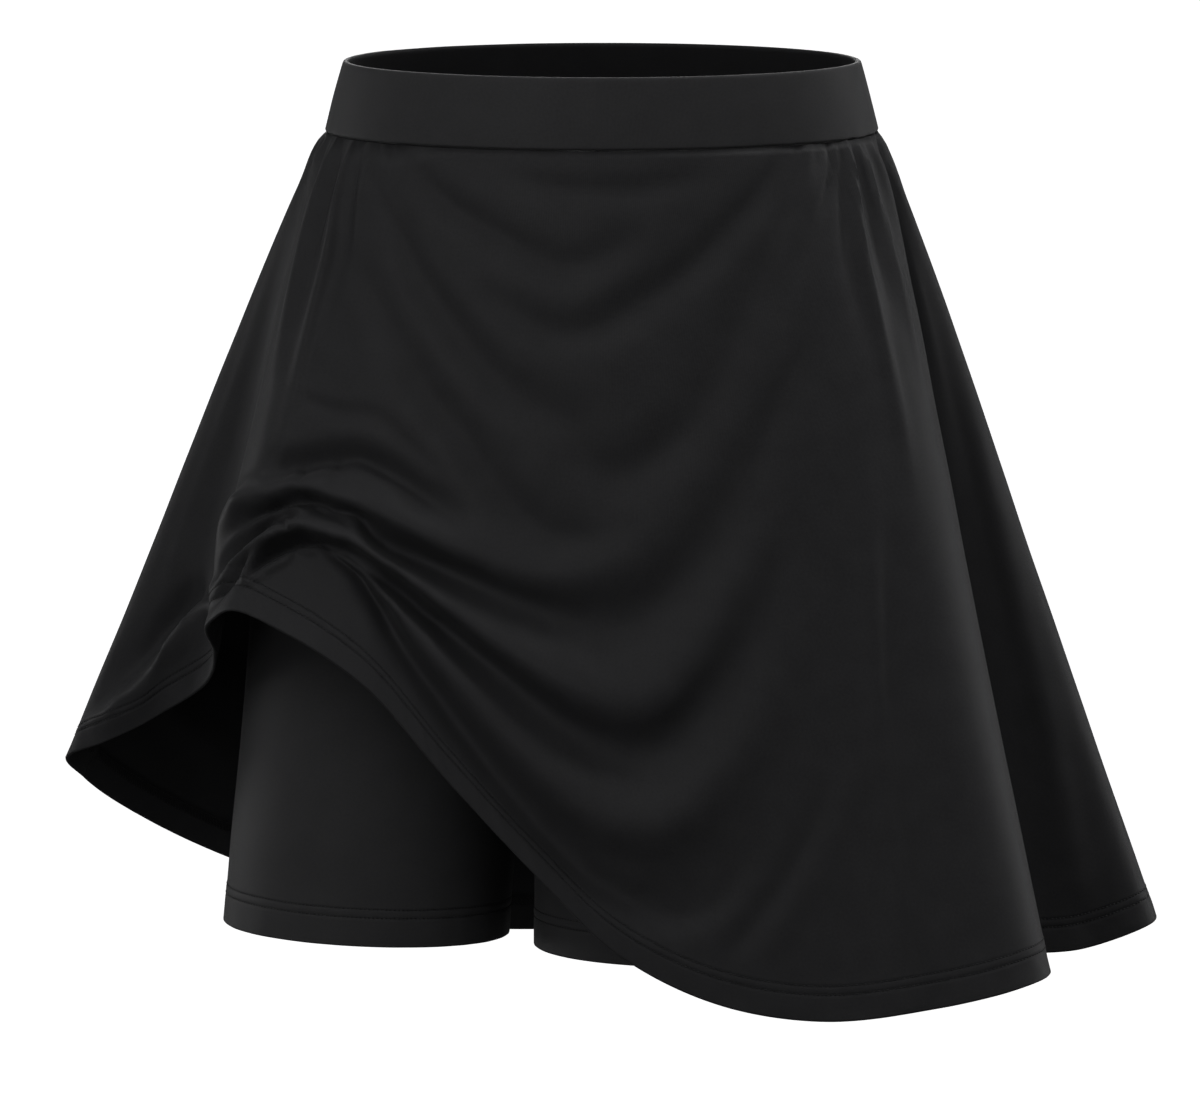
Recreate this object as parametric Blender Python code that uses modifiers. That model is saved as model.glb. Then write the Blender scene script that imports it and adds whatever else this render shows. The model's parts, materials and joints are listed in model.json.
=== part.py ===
"""Tennis skort, filled out as it is worn: a plain waistband, a flared skirt in two panels and
fitted inner shorts in two legs. The skirt's hem is lifted and bunched over the wearer's right leg.

Metres, +Z up. The origin is the middle of the waist opening, level with the band's top edge at
the sides. The front faces -Y and the wearer's right is at -X. The constants and tables are in
millimetres; MM turns them into metres when a mesh is made.
"""

import math

import bmesh
import bpy
import numpy as np

MM = 0.001

# Waistband
BAND_TOP_HALF_WIDTH = 137.0
BAND_TOP_HALF_DEPTH = 96.0
BAND_FOOT_HALF_WIDTH = 146.9
BAND_FOOT_HALF_DEPTH = 102.0
BAND_HEIGHT = 38.0
BAND_WALL = 3.6
BAND_ROUNDING = 0.9
RIM_DIP = 3.5
BAND_COLUMNS = 40
BAND_ROWS = 3

# Cloth walls and seams
SIDE_SEAM_GAP = 0.7
BAND_SEAM_GAP = 0.6
CLOTH_WALL = 1.2
HEM_WALL = 2.4
HEM_DEPTH = 18.0

# Where the cloth meets the band's foot, measured outward from the band's middle surface
SKIRT_SEAM_OUT = 0.5
SHORTS_SEAM_OUT = -1.25

# Skirt: the cloth is pushed out as it leaves the gathers, and rounds over belly and seat
GATHER_PUSH = 4.5
GATHER_PUSH_AT = 0.2
BELLY_PUSH = 9.0
SEAT_PUSH = 17.0

FRONT_COLUMNS = 58
FRONT_ROWS = 24
FRONT_ROW_CROWDING = 1.35
BUNCH_CROWDING = 1.4
BACK_COLUMNS = 28
BACK_ROWS = 10
BACK_ROW_CROWDING = 1.0

# One row for each place round the hem, from the side seam at the wearer's right, across the
# front, to the seam at the left, and then back behind: (place, seam, x, y, z). `seam` is the angle
# on the waist seam that the cloth there hangs from: 0 at centre front, 90 at +X.
HEM = (
    ("right side seam", -101, -283, 47, -394),
    ("right tip", -95, -291, 28, -381),
    ("right flare", -91, -270, 15, -371),
    ("right flare, front", -88, -239, 4, -355),
    ("right valley", -86, -217, -19, -338),
    ("right fold wall", -84.5, -206, -74, -311),
    ("right front ridge", -83, -208, -112, -292),
    ("top of the lifted hem", -77, -195, -132, -281),
    ("lifted hem, inner slope", -66, -165, -145, -292),
    ("lifted hem, middle", -51, -127, -155, -316),
    ("lifted hem, steep", -36, -80, -164, -368),
    ("lifted hem, foot", -20, -32, -170, -419),
    ("front, right of centre", -5, 10, -173, -459),
    ("front, left of centre", 11, 61, -175, -484),
    ("front, lowest", 27, 114, -174, -493),
    ("front, left", 46, 176, -168, -487),
    ("left front ridge, front", 62, 214, -157, -480),
    ("left front ridge", 73, 233, -139, -476),
    ("left fold wall", 79, 231, -84, -477),
    ("left valley", 83, 221, -18, -482),
    ("left flare", 87, 260, 6, -483),
    ("left tip", 92, 301, 33, -472),
    ("left side seam", 99, 300, 64, -471),
    ("back, left", 114, 266, 112, -475),
    ("back ridge, left", 138, 180, 158, -484),
    ("back dip, left", 158, 95, 158, -493),
    ("back ridge, middle", 180, 5, 178, -498),
    ("back dip, right", 202, -90, 160, -493),
    ("back ridge, right", 226, -198, 138, -456),
    ("back, right", 243, -250, 96, -425),
)
LEFT_SEAM_ROW = 22
BUNCH_FIRST_ROW = 5
BUNCH_LAST_ROW = 10

# The largest folds, all on the front panel. Each has a name, a lean and its line. A line's rows are
# (along, z, height, width above, width below). `along` is the distance round the skirt from the
# centre front, negative to the wearer's right; height is how far the fold stands out, or in where
# it is negative; above is the left-hand side when the line is followed. Lean slides a ridge down
# over the hollow below it, as a share of its height.
FOLDS = (
    ("upper hollow", 0.2, (
        (-212, -222, 0, 9, 7), (-163, -198, -6, 10, 7), (-121, -202, -6, 10, 7),
        (-81, -228, -4, 10, 8), (-45, -243, 0, 9, 8),
    )),
    ("ridge B", 0.3, (
        (-218, -230, 0, 8, 7), (-188, -217, 7, 8, 6), (-158, -213, 9, 8, 6), (-115, -230, 7, 9, 7),
        (-69, -249, 6, 11, 8), (-20, -257, 5, 14, 9), (22, -231, 3.5, 15, 12), (66, -160, 0, 14, 12),
    )),
    ("hollow C", 0.3, (
        (-220, -248, 0, 7, 7), (-188, -225, -7, 7, 6), (-156, -222, -8, 7, 7), (-120, -237, -8, 8, 8),
        (-85, -256, -11, 9, 10), (-40, -273, -11, 10, 10), (5, -284, -8, 12, 10),
        (46, -262, -5, 15, 11), (66, -185, 0, 16, 13),
    )),
    ("ridge D", 0.3, (
        (-226, -262, 0, 7, 7), (-200, -239, 8, 7, 6), (-178, -228, 8, 7, 6), (-158, -233, 0, 6, 6),
    )),
    ("hollow E", 0.2, (
        (-220, -270, 0, 7, 7), (-198, -248, -7, 6, 6), (-178, -235, -6, 6, 6), (-160, -238, 0, 6, 6),
    )),
    ("flare ridge", 0.15, (
        (-388, -364, 0, 8, 8), (-365, -349, 7, 8, 9), (-338, -326, 12, 8, 10), (-312, -301, 9, 8, 9),
        (-285, -291, 6, 8, 8), (-250, -285, 5, 8, 8), (-215, -270, 6, 7, 7), (-195, -252, 6, 6, 6),
        (-175, -237, 0, 6, 6),
    )),
    ("ridge F", 0.3, (
        (-192, -264, 0, 7, 7), (-176, -243, 9, 7, 6), (-142, -242, 11, 8, 6), (-102, -260, 10, 9, 7),
        (-53, -293, 10, 12, 8), (-4, -319, 9, 15, 10), (42, -308, 6.5, 16, 12), (84, -205, 0, 14, 12),
    )),
    ("hollow G", 0.3, (
        (-196, -270, 0, 7, 7), (-173, -249, -9, 6, 6), (-137, -252, -9, 7, 6), (-98, -279, -11, 8, 8),
        (-52, -319, -12, 10, 10), (-4, -348, -10, 11, 10), (38, -349, -7, 14, 11),
        (100, -200, 0, 12, 12),
    )),
    ("ridge H", 0.3, (
        (-160, -249, 0, 6, 6), (-133, -259, 9, 7, 6), (-95, -289, 12, 8, 7), (-53, -334, 12, 10, 9),
        (-3, -379, 10, 13, 11), (40, -382, 6, 15, 13), (82, -300, 3.2, 14, 13), (102, -230, 0, 12, 12),
    )),
    ("hollow J", 0.3, (
        (-168, -250, 0, 6, 6), (-139, -263, -7, 6, 6), (-101, -302, -9, 8, 8), (-53, -367, -9, 9, 9),
        (-5, -417, -7, 10, 9), (47, -436, -4, 13, 9), (90, -372, 0, 13, 12),
    )),
    ("long soft ridge", 0.0, (
        (144, -196, 0, 9, 9), (145, -275, 2.6, 9, 9), (151, -360, 3, 9, 9), (166, -475, 2.6, 10, 12),
        (168, -500, 2, 10, 12),
    )),
)
SIDE_BLEND = 2.5

# Inner shorts, fitted over plain hips that lean a little towards the wearer's right
CROTCH_LEAN = -38.0
CROTCH_HEIGHT = -350.0
CROTCH_BACK = 8.0
RISE_FRONT_FULLNESS = 8.0
RISE_BACK_FULLNESS = 22.0
RISE_SQUARENESS = 0.62
RISE_DEPTH_POWER = 1.35
RISE_OPENING_AT_WAIST = 0.4
RISE_OPENING_AT_CROTCH = 1.3
RISE_SHARE = math.radians(56)
HIP_PUSH = 8.0
BELLY_OF_SHORTS = 12.0
SEAT_OF_SHORTS = 24.0
LEG_COLUMNS = 26
LEG_ROWS = 9

# One row for each section of a leg, from the thigh down: (x, y, half width, half depth, z, tilt).
# x and y are its middle, and tilt is how much higher the outer side is than the middle.
RIGHT_LEG = (
    (-118.0, 2.0, 77.0, 79.0, -372.0, 2.0),
    (-124.0, 1.0, 76.5, 76.0, -425.0, 3.0),
    (-127.5, 0.0, 77.0, 74.0, -469.0, 3.4),
)
LEFT_LEG = (
    (40.5, -8.0, 77.5, 79.0, -372.0, 0.0),
    (41.0, -16.0, 77.0, 76.0, -430.0, -1.0),
    (41.5, -22.0, 77.5, 75.0, -476.5, -1.0),
)

CLOTH_COLOUR = (0.011, 0.011, 0.012, 1.0)
BAND_COLOUR = (0.014, 0.014, 0.016, 1.0)


def curve_slopes(knots, values):
    """The slope at each knot of a smooth curve through the values, for uneven knots."""
    steps = np.diff(knots)
    rises = np.diff(values, axis=0) / steps[:, None]
    middle = (rises[:-1] * steps[1:, None] + rises[1:] * steps[:-1, None]) / (steps[:-1] + steps[1:])[:, None]
    return np.vstack([rises[:1], middle, rises[-1:]])


def curve_through(knots, values, at):
    """Points of the smooth curve through `values` at `knots`, read at each place in `at`."""
    knots = np.asarray(knots, float)
    values = np.asarray(values, float)
    slopes = curve_slopes(knots, values)
    index = np.clip(np.searchsorted(knots, at) - 1, 0, len(knots) - 2)
    step = (knots[index + 1] - knots[index])[:, None]
    t = ((at - knots[index]) / step[:, 0])[:, None]
    start = values[index] * (1 + 2 * t) * (1 - t) ** 2 + slopes[index] * step * t * (1 - t) ** 2
    end = values[index + 1] * t**2 * (3 - 2 * t) - slopes[index + 1] * step * t**2 * (1 - t)
    return start + end


def rim_height(angle):
    """Height of the band's top edge; the front dips and the back rises."""
    return -RIM_DIP * np.cos(angle)


def waist_ring(angle, half_width, half_depth, out=0.0):
    """x and y on an oval round the waist; angle 0 is at centre front and 90 degrees at +X."""
    return (half_width + out) * np.sin(angle), -(half_depth + out) * np.cos(angle)


def hem_curve():
    """The hem as a closed smooth curve: knots along it and (seam angle, x, y, z) at each."""
    rows = np.array([row[1:] for row in HEM], float)
    rows[:, 0] = np.radians(rows[:, 0])
    turn = np.array([2 * math.pi, 0, 0, 0])
    around = np.vstack([rows[-3:] - turn, rows, rows[:3] + turn])
    knots = np.concatenate([[0], np.cumsum(np.linalg.norm(np.diff(around[:, 1:], axis=0), axis=1))])
    return knots - knots[3], around


def skirt_surface(along_hem, rows):
    """The skirt's middle surface without its cross folds, as an array of columns by rows."""
    knots, around = hem_curve()
    foot = curve_through(knots, around, along_hem)
    angle = foot[:, 0:1]
    seam_x, seam_y = waist_ring(angle, BAND_FOOT_HALF_WIDTH, BAND_FOOT_HALF_DEPTH, SKIRT_SEAM_OUT)
    seam_z = rim_height(angle) - BAND_HEIGHT - BAND_SEAM_GAP
    t = rows[None, :]
    push = GATHER_PUSH * np.sin(angle) ** 2 * (t / GATHER_PUSH_AT) * np.exp(1 - t / GATHER_PUSH_AT)
    fullness = np.where(np.cos(angle) > 0, BELLY_PUSH, SEAT_PUSH) * np.cos(angle) ** 2
    push = push + fullness * np.sin(math.pi * t**0.8)
    x = seam_x + (foot[:, 1:2] - seam_x) * t + push * np.sin(angle)
    y = seam_y + (foot[:, 2:3] - seam_y) * t - push * np.cos(angle)
    z = seam_z + (foot[:, 3:4] - seam_z) * t
    return np.stack([x, y, z], axis=-1)


def unit(vectors):
    return vectors / np.linalg.norm(vectors, axis=-1, keepdims=True)


def outward(points):
    """Unit normals of a grid of points whose columns run anticlockwise seen from above."""
    around = np.gradient(points, axis=0)
    down = np.gradient(points, axis=1)
    return unit(np.cross(down, around))


def distance_round(points):
    """Distance of each point round the skirt from the centre front, negative towards -X."""
    steps = np.linalg.norm(np.diff(points[..., :2], axis=0), axis=-1)
    along = np.vstack([np.zeros(points.shape[1]), np.cumsum(steps, axis=0)])
    for row in range(points.shape[1]):
        x = points[:, row, 0]
        front = points[:, row, 1] < 0
        crossing = np.flatnonzero(front[:-1] & (x[:-1] < 0) & (x[1:] >= 0))[0]
        share = -x[crossing] / (x[crossing + 1] - x[crossing])
        along[:, row] -= along[crossing, row] + share * steps[crossing, row]
    return along


def add_fold(along, z, lean, line, shift):
    """Adds one fold to `shift`, whose layers are outward, along and up."""
    rows = np.array(line, float)
    places = np.linspace(0, len(rows) - 1, 20 * (len(rows) - 1) + 1)
    knots = np.arange(len(rows), dtype=float)
    path = curve_through(knots, rows[:, :2], places)
    height, above, below = (np.interp(places, knots, rows[:, column]) for column in (2, 3, 4))
    steps = np.gradient(path, axis=0)
    length = np.linalg.norm(steps, axis=1)
    down = np.stack([steps[:, 1], -steps[:, 0]], axis=1) / length[:, None]
    for i in range(len(path)):
        gap_along, gap_z = along - path[i, 0], z - path[i, 1]
        below_share = 0.5 + 0.5 * np.tanh((gap_along * down[i, 0] + gap_z * down[i, 1]) / SIDE_BLEND)
        width = above[i] + (below[i] - above[i]) * below_share
        weight = height[i] * length[i] / (width * math.sqrt(math.pi))
        weight = weight * np.exp(-(gap_along**2 + gap_z**2) / width**2)
        shift[0] += weight
        shift[1] += weight * lean * down[i, 0]
        shift[2] += weight * lean * down[i, 1]


def folded_skirt(along_hem, rows):
    """The skirt's middle surface with its large folds, which all are measured on the smooth one."""
    points = skirt_surface(along_hem, rows)
    along, z = distance_round(points), points[..., 2]
    shift = [np.zeros_like(along) for _ in range(3)]
    for _, lean, line in FOLDS:
        add_fold(along, z, lean, line, shift)
    around, up = unit(np.gradient(points, axis=0)), -unit(np.gradient(points, axis=1))
    out, across, rise = (layer[..., None] for layer in shift)
    return points + outward(points) * out + around * across + up * rise


def panel_rows(count, crowding, hem_share):
    """Row places from the seam, 0, to the hem, 1, with the last row gap as deep as the hem."""
    return np.append((1 - (1 - np.linspace(0, 1, count)) ** crowding) * (1 - hem_share), 1.0)


def loft(name, grid, closed, wall, material, hem_rows=0):
    """An object whose open surface follows the grid, thickened by Solidify about that surface.

    The cloth is `wall` thick, and HEM_WALL thick over the last `hem_rows` rows.
    """
    columns, rows = grid.shape[:2]
    bm = bmesh.new()
    verts = [[bm.verts.new(point * MM) for point in column] for column in grid]
    for i in range(columns if closed else columns - 1):
        left, right = verts[i], verts[(i + 1) % columns]
        for j in range(rows - 1):
            bm.faces.new((left[j], left[j + 1], right[j + 1], right[j]))
    bm.verts.index_update()
    hem = [vert.index for column in verts for vert in column[rows - hem_rows :]] if hem_rows else []
    cloth = [vert.index for column in verts for vert in column[: rows - hem_rows]]
    mesh = bpy.data.meshes.new(name)
    bm.to_mesh(mesh)
    bm.free()
    mesh.shade_smooth()
    mesh.materials.append(material)
    obj = bpy.data.objects.new(name, mesh)
    thickest = HEM_WALL if hem_rows else wall
    weights = obj.vertex_groups.new(name="wall")
    weights.add(cloth, wall / thickest, "REPLACE")
    weights.add(hem, 1.0, "REPLACE")
    shell = obj.modifiers.new("wall", "SOLIDIFY")
    shell.thickness = thickest * MM
    shell.offset = 0.0
    shell.vertex_group = "wall"
    return obj


def cloth_material(name, colour, roughness):
    material = bpy.data.materials.new(name)
    material.use_nodes = True
    shader = material.node_tree.nodes["Principled BSDF"]
    shader.inputs["Base Color"].default_value = colour
    shader.inputs["Roughness"].default_value = roughness
    return material


def build_waistband(material):
    angle = np.linspace(0, 2 * math.pi, BAND_COLUMNS, endpoint=False)[:, None]
    t = np.linspace(0, 1, BAND_ROWS)[None, :]
    half_width = BAND_TOP_HALF_WIDTH + (BAND_FOOT_HALF_WIDTH - BAND_TOP_HALF_WIDTH) * t
    half_depth = BAND_TOP_HALF_DEPTH + (BAND_FOOT_HALF_DEPTH - BAND_TOP_HALF_DEPTH) * t
    x, y = waist_ring(angle, half_width, half_depth)
    z = rim_height(angle) - BAND_HEIGHT * t
    band = loft("waistband", np.stack([x, y, z], axis=-1), True, BAND_WALL, material)
    rounding = band.modifiers.new("rounded edges", "BEVEL")
    rounding.width = BAND_ROUNDING * MM
    rounding.segments = 1
    rounding.limit_method = "ANGLE"
    rounding.angle_limit = math.radians(60)
    return band


def crowded(start, end, count, first, last, strength):
    """Places from start to end, closer together between first and last."""
    fine = np.linspace(start, end, 2000)
    edge = (last - first) * 0.12
    inside = 1 / (1 + np.exp(-(fine - first) / edge)) / (1 + np.exp((fine - last) / edge))
    total = np.cumsum(1 + strength * inside)
    return np.interp(np.linspace(total[0], total[-1], count), total, fine)


def build_skirt_panel(name, along_hem, rows, crowding, surface, material):
    """One skirt panel between the first and last of its places along the hem curve."""
    length = np.linalg.norm(np.diff(skirt_surface(along_hem, np.array([0.0, 1.0])), axis=1)[:, 0], axis=-1)
    hem_share = HEM_DEPTH / length.mean()
    grid = surface(along_hem, panel_rows(rows, crowding, hem_share))
    return loft(name, grid, False, CLOTH_WALL, material, hem_rows=1)


def build_skirt(material):
    knots, _ = hem_curve()
    left_seam, full_turn = knots[3 + LEFT_SEAM_ROW], knots[3 + len(HEM)]
    half_gap = SIDE_SEAM_GAP / 2
    bunch = knots[3 + BUNCH_FIRST_ROW], knots[3 + BUNCH_LAST_ROW]
    front_places = crowded(half_gap, left_seam - half_gap, FRONT_COLUMNS + 1, *bunch, BUNCH_CROWDING)
    back_places = np.linspace(left_seam + half_gap, full_turn - half_gap, BACK_COLUMNS + 1)
    return [
        build_skirt_panel("skirt_front", front_places, FRONT_ROWS, FRONT_ROW_CROWDING, folded_skirt, material),
        build_skirt_panel("skirt_back", back_places, BACK_ROWS, BACK_ROW_CROWDING, skirt_surface, material),
    ]


def rise_point(share, front, side):
    """A point of the centre seam: share 0 at the crotch, 1 at the waist, in front or behind."""
    turn = share * math.pi / 2
    out, height = math.sin(turn) ** RISE_SQUARENESS, (1 - math.cos(turn)) ** RISE_DEPTH_POWER
    angle = 0.0 if front else math.pi
    seam_z = rim_height(angle) - BAND_HEIGHT - BAND_SEAM_GAP
    waist_y = waist_ring(angle, BAND_FOOT_HALF_WIDTH, BAND_FOOT_HALF_DEPTH, SHORTS_SEAM_OUT)[1]
    fullness = RISE_FRONT_FULLNESS if front else RISE_BACK_FULLNESS
    y = CROTCH_BACK + (waist_y - CROTCH_BACK) * out
    y += math.copysign(fullness, waist_y) * math.sin(math.pi * height) * out
    z = CROTCH_HEIGHT + (seam_z - CROTCH_HEIGHT) * height
    opening = RISE_OPENING_AT_WAIST + (RISE_OPENING_AT_CROTCH - RISE_OPENING_AT_WAIST) * (1 - share) ** 0.5
    return CROTCH_LEAN * (1 - height) ** 1.5 + side * opening, y, z


def leg_top(turn, side):
    """The upper edge of one leg piece: along the waist, and down and up the centre seam."""
    inner = min(turn, 2 * math.pi - turn)
    if inner < RISE_SHARE:
        return rise_point(inner / RISE_SHARE, turn < math.pi, side)
    angle = math.pi * (turn - RISE_SHARE) / (2 * math.pi - 2 * RISE_SHARE)
    x, y = waist_ring(angle, BAND_FOOT_HALF_WIDTH, BAND_FOOT_HALF_DEPTH, SHORTS_SEAM_OUT)
    return side * max(x, RISE_OPENING_AT_WAIST), y, rim_height(angle) - BAND_HEIGHT - BAND_SEAM_GAP


def leg_columns():
    """Turns round the leg from its inner side, with one column on each end of the centre seam."""
    rise = max(3, round(LEG_COLUMNS * RISE_SHARE / (2 * math.pi)))
    waist = LEG_COLUMNS - 2 * rise
    inner = np.linspace(0, RISE_SHARE, rise, endpoint=False)
    outer = np.linspace(RISE_SHARE, 2 * math.pi - RISE_SHARE, waist, endpoint=False)
    return np.concatenate([inner, outer, 2 * math.pi - inner[::-1] - RISE_SHARE / rise])


def build_leg(name, side, sections, material):
    """One leg piece: it has no side seam, and wraps from the centre front to the centre back."""
    grid = []
    for turn in leg_columns():
        ring = [
            (x - side * half_width * math.cos(turn), y - half_depth * math.sin(turn), z - tilt * math.cos(turn))
            for x, y, half_width, half_depth, z, tilt in sections
        ]
        top, thigh = np.array(leg_top(turn, side)), np.array(ring[0])
        body = 0.5 - 0.5 * math.cos(min(turn, 2 * math.pi - turn, RISE_SHARE) * math.pi / RISE_SHARE)
        seat = BELLY_OF_SHORTS if turn < math.pi else SEAT_OF_SHORTS
        push = body * np.array([-side * HIP_PUSH * math.cos(turn), -seat * math.sin(turn), 0])
        t = np.linspace(0, 1, LEG_ROWS - 3)[:, None]
        upper = top + (thigh - top) * t + push * np.sin(math.pi * t)
        hem = np.array(ring[2])
        above_hem = hem + (np.array(ring[1]) - hem) * HEM_DEPTH / (ring[1][2] - hem[2])
        grid.append(np.vstack([upper, ring[1], above_hem, hem]))
    grid = np.array(grid if side < 0 else grid[::-1])
    return loft(name, grid, True, CLOTH_WALL, material, hem_rows=1)


def clear_scene():
    for obj in list(bpy.data.objects):
        bpy.data.objects.remove(obj, do_unlink=True)


def main():
    clear_scene()
    jersey = cloth_material("jersey", CLOTH_COLOUR, 0.6)
    band_cloth = cloth_material("band_jersey", BAND_COLOUR, 0.55)
    lining = cloth_material("shorts_jersey", CLOTH_COLOUR, 0.55)
    skort = bpy.data.collections.new("tennis_skort")
    bpy.context.scene.collection.children.link(skort)
    pieces = [build_waistband(band_cloth), *build_skirt(jersey)]
    pieces.append(build_leg("shorts_leg_right", -1, RIGHT_LEG, lining))
    pieces.append(build_leg("shorts_leg_left", 1, LEFT_LEG, lining))
    for piece in pieces:
        skort.objects.link(piece)


main()
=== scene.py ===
"""Looks of the tennis skort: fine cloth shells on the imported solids' form, with gathers, swags, the
bunch of folds over the wearer's right leg, turned hems with twin-needle rows, and black jersey.

The tables are in millimetres; MM turns them into metres when a mesh is made. +Z is up, the front
faces -Y, and the wearer's right is at -X.
"""

import json
import math

import bpy
import numpy as np
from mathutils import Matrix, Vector

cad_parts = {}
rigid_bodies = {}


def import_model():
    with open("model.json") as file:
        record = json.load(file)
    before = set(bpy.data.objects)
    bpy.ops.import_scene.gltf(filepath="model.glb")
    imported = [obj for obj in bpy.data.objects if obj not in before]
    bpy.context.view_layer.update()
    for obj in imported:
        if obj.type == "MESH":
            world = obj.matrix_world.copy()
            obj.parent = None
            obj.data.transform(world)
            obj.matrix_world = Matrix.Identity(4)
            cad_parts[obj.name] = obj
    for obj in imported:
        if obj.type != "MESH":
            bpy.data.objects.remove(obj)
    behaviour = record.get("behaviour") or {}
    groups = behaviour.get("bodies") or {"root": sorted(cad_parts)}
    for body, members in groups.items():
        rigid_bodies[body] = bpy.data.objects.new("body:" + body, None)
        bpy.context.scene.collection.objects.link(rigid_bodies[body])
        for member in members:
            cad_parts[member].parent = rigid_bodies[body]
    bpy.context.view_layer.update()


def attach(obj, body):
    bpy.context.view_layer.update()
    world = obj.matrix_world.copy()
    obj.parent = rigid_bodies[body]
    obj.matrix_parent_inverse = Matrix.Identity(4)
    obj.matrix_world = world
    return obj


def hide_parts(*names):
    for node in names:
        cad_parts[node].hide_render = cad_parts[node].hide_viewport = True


MM = 0.001

# ---------------------------------------------------------------- sizes, as the solids have them

BAND_TOP_HALF_WIDTH = 137.0
BAND_TOP_HALF_DEPTH = 96.0
BAND_FOOT_HALF_WIDTH = 146.9
BAND_FOOT_HALF_DEPTH = 102.0
BAND_MEAN_RADIUS = 0.86 * BAND_FOOT_HALF_WIDTH
BAND_HEIGHT = 38.0
BAND_WALL = 3.6
BAND_FOOT_RADIUS = 1.3
BAND_SWELL = 0.3
BAND_RIPPLE_REACH = 9.0
BAND_SEAM_DIP_WIDTH = 0.9
RIM_DIP = 3.5
BAND_SEAM_GAP = 0.6
SKIRT_SEAM_OUT = 0.5
SHORTS_SEAM_OUT = -1.25
GATHER_PUSH = 4.5
GATHER_PUSH_AT = 0.2
BELLY_PUSH = 9.0
SEAT_PUSH = 17.0

# One row for each place round the hem, anticlockwise from the side seam at the wearer's right:
# (place, seam angle in degrees, x, y, z). The cloth there hangs from that angle on the waist seam.
HEM = (
    ("right side seam", -101, -283, 47, -394),
    ("right tip", -95, -291, 28, -381),
    ("right flare", -91, -270, 15, -371),
    ("right flare, front", -88, -239, 4, -355),
    ("right valley", -86, -217, -19, -338),
    ("right fold wall", -84.5, -206, -74, -311),
    ("right front ridge", -83, -208, -112, -292),
    ("top of the lifted hem", -77, -195, -132, -281),
    ("lifted hem, inner slope", -66, -165, -145, -292),
    ("lifted hem, middle", -51, -127, -155, -316),
    ("lifted hem, steep", -36, -80, -164, -368),
    ("lifted hem, foot", -20, -32, -170, -419),
    ("front, right of centre", -5, 10, -173, -459),
    ("front, left of centre", 11, 61, -175, -484),
    ("front, lowest", 27, 114, -174, -493),
    ("front, left", 46, 176, -168, -487),
    ("left front ridge, front", 62, 214, -157, -480),
    ("left front ridge", 73, 233, -139, -476),
    ("left fold wall", 79, 231, -84, -477),
    ("left valley", 83, 221, -18, -482),
    ("left flare", 87, 260, 6, -483),
    ("left tip", 92, 301, 33, -472),
    ("left side seam", 99, 300, 64, -471),
    ("back, left", 114, 266, 112, -475),
    ("back ridge, left", 138, 180, 158, -484),
    ("back dip, left", 158, 95, 158, -493),
    ("back ridge, middle", 180, 5, 178, -498),
    ("back dip, right", 202, -90, 160, -493),
    ("back ridge, right", 226, -198, 138, -456),
    ("back, right", 243, -250, 96, -425),
)
HEM_OVERLAP = 3
LEFT_SEAM_ROW = 22
BUNCH_FIRST_ROW = 5
BUNCH_LAST_ROW = 10

CROTCH_LEAN = -38.0
CROTCH_HEIGHT = -350.0
CROTCH_BACK = 8.0
RISE_FRONT_FULLNESS = 8.0
RISE_BACK_FULLNESS = 22.0
RISE_SQUARENESS = 0.62
RISE_DEPTH_POWER = 1.35
RISE_OPENING_AT_WAIST = 0.4
RISE_OPENING_AT_CROTCH = 1.3
RISE_SHARE = math.radians(56)
HIP_PUSH = 8.0
BELLY_OF_SHORTS = 12.0
SEAT_OF_SHORTS = 24.0

# One row for each section of a leg, from the thigh down: (x, y, half width, half depth, z, tilt).
RIGHT_LEG = (
    (-118.0, 2.0, 77.0, 79.0, -372.0, 2.0),
    (-124.0, 1.0, 76.5, 76.0, -425.0, 3.0),
    (-127.5, 0.0, 77.0, 74.0, -469.0, 3.4),
)
LEFT_LEG = (
    (40.5, -8.0, 77.5, 79.0, -372.0, 0.0),
    (41.0, -16.0, 77.0, 76.0, -430.0, -1.0),
    (41.5, -22.0, 77.5, 75.0, -476.5, -1.0),
)

# ---------------------------------------------------------------- cloth

CLOTH_HALF_WALL = 0.45
SIDE_SEAM_GAP = 0.14
SIDE_SEAM_DIP = 0.45
SIDE_SEAM_DIP_WIDTH = 1.3
SEAM_COLUMNS = (0.5, 1.1, 1.9)

HEM_DEPTH = 18.0
SHORTS_HEM_DEPTH = 19.6
HEM_LAYER = 0.8
HEM_SWELL = 0.2
HEM_EDGE_ABOVE = 1.2
HEM_EDGE_SOFTNESS = 0.5
ROW_SPACING = 4.6
ROW_GROOVE = 0.38
ROW_GROOVE_WIDTH = 0.75
# Distances of the grid's lowest rows above the hem edge, for a hem HEM_DEPTH deep
HEM_STEPS = (
    25, 22, 20, 19, 18.4, 18, 17.6, 17, 16.2, 15.2, 14.4, 13.8, 13.4, 13, 12.4, 11, 8.5, 6, 3.6, 1.8, 0.7, 0,
)
HEM_STEPS_MOVE_ABOVE = 8.0

FRONT_COLUMNS = 380
FRONT_ROWS = 100
BACK_COLUMNS = 230
BACK_ROWS = 76
LEG_COLUMNS = 150
LEG_ROWS = 56
BAND_COLUMNS = 300
BUNCH_CROWDING = 2.0
BUNCH_ROW_POWER = 0.58
CROWDING_EDGE = 0.12
BUNCH_EDGE = 30.0

# A fold is a row of soft bumps, STEPS_A_ROW of them for each row of its line. Each fades out within
# FOLD_REACH widths, and changes from its upper to its lower width over SIDE_BLEND.
STEPS_A_ROW = 10
FOLD_REACH = 3
SIDE_BLEND = 2.5

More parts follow.
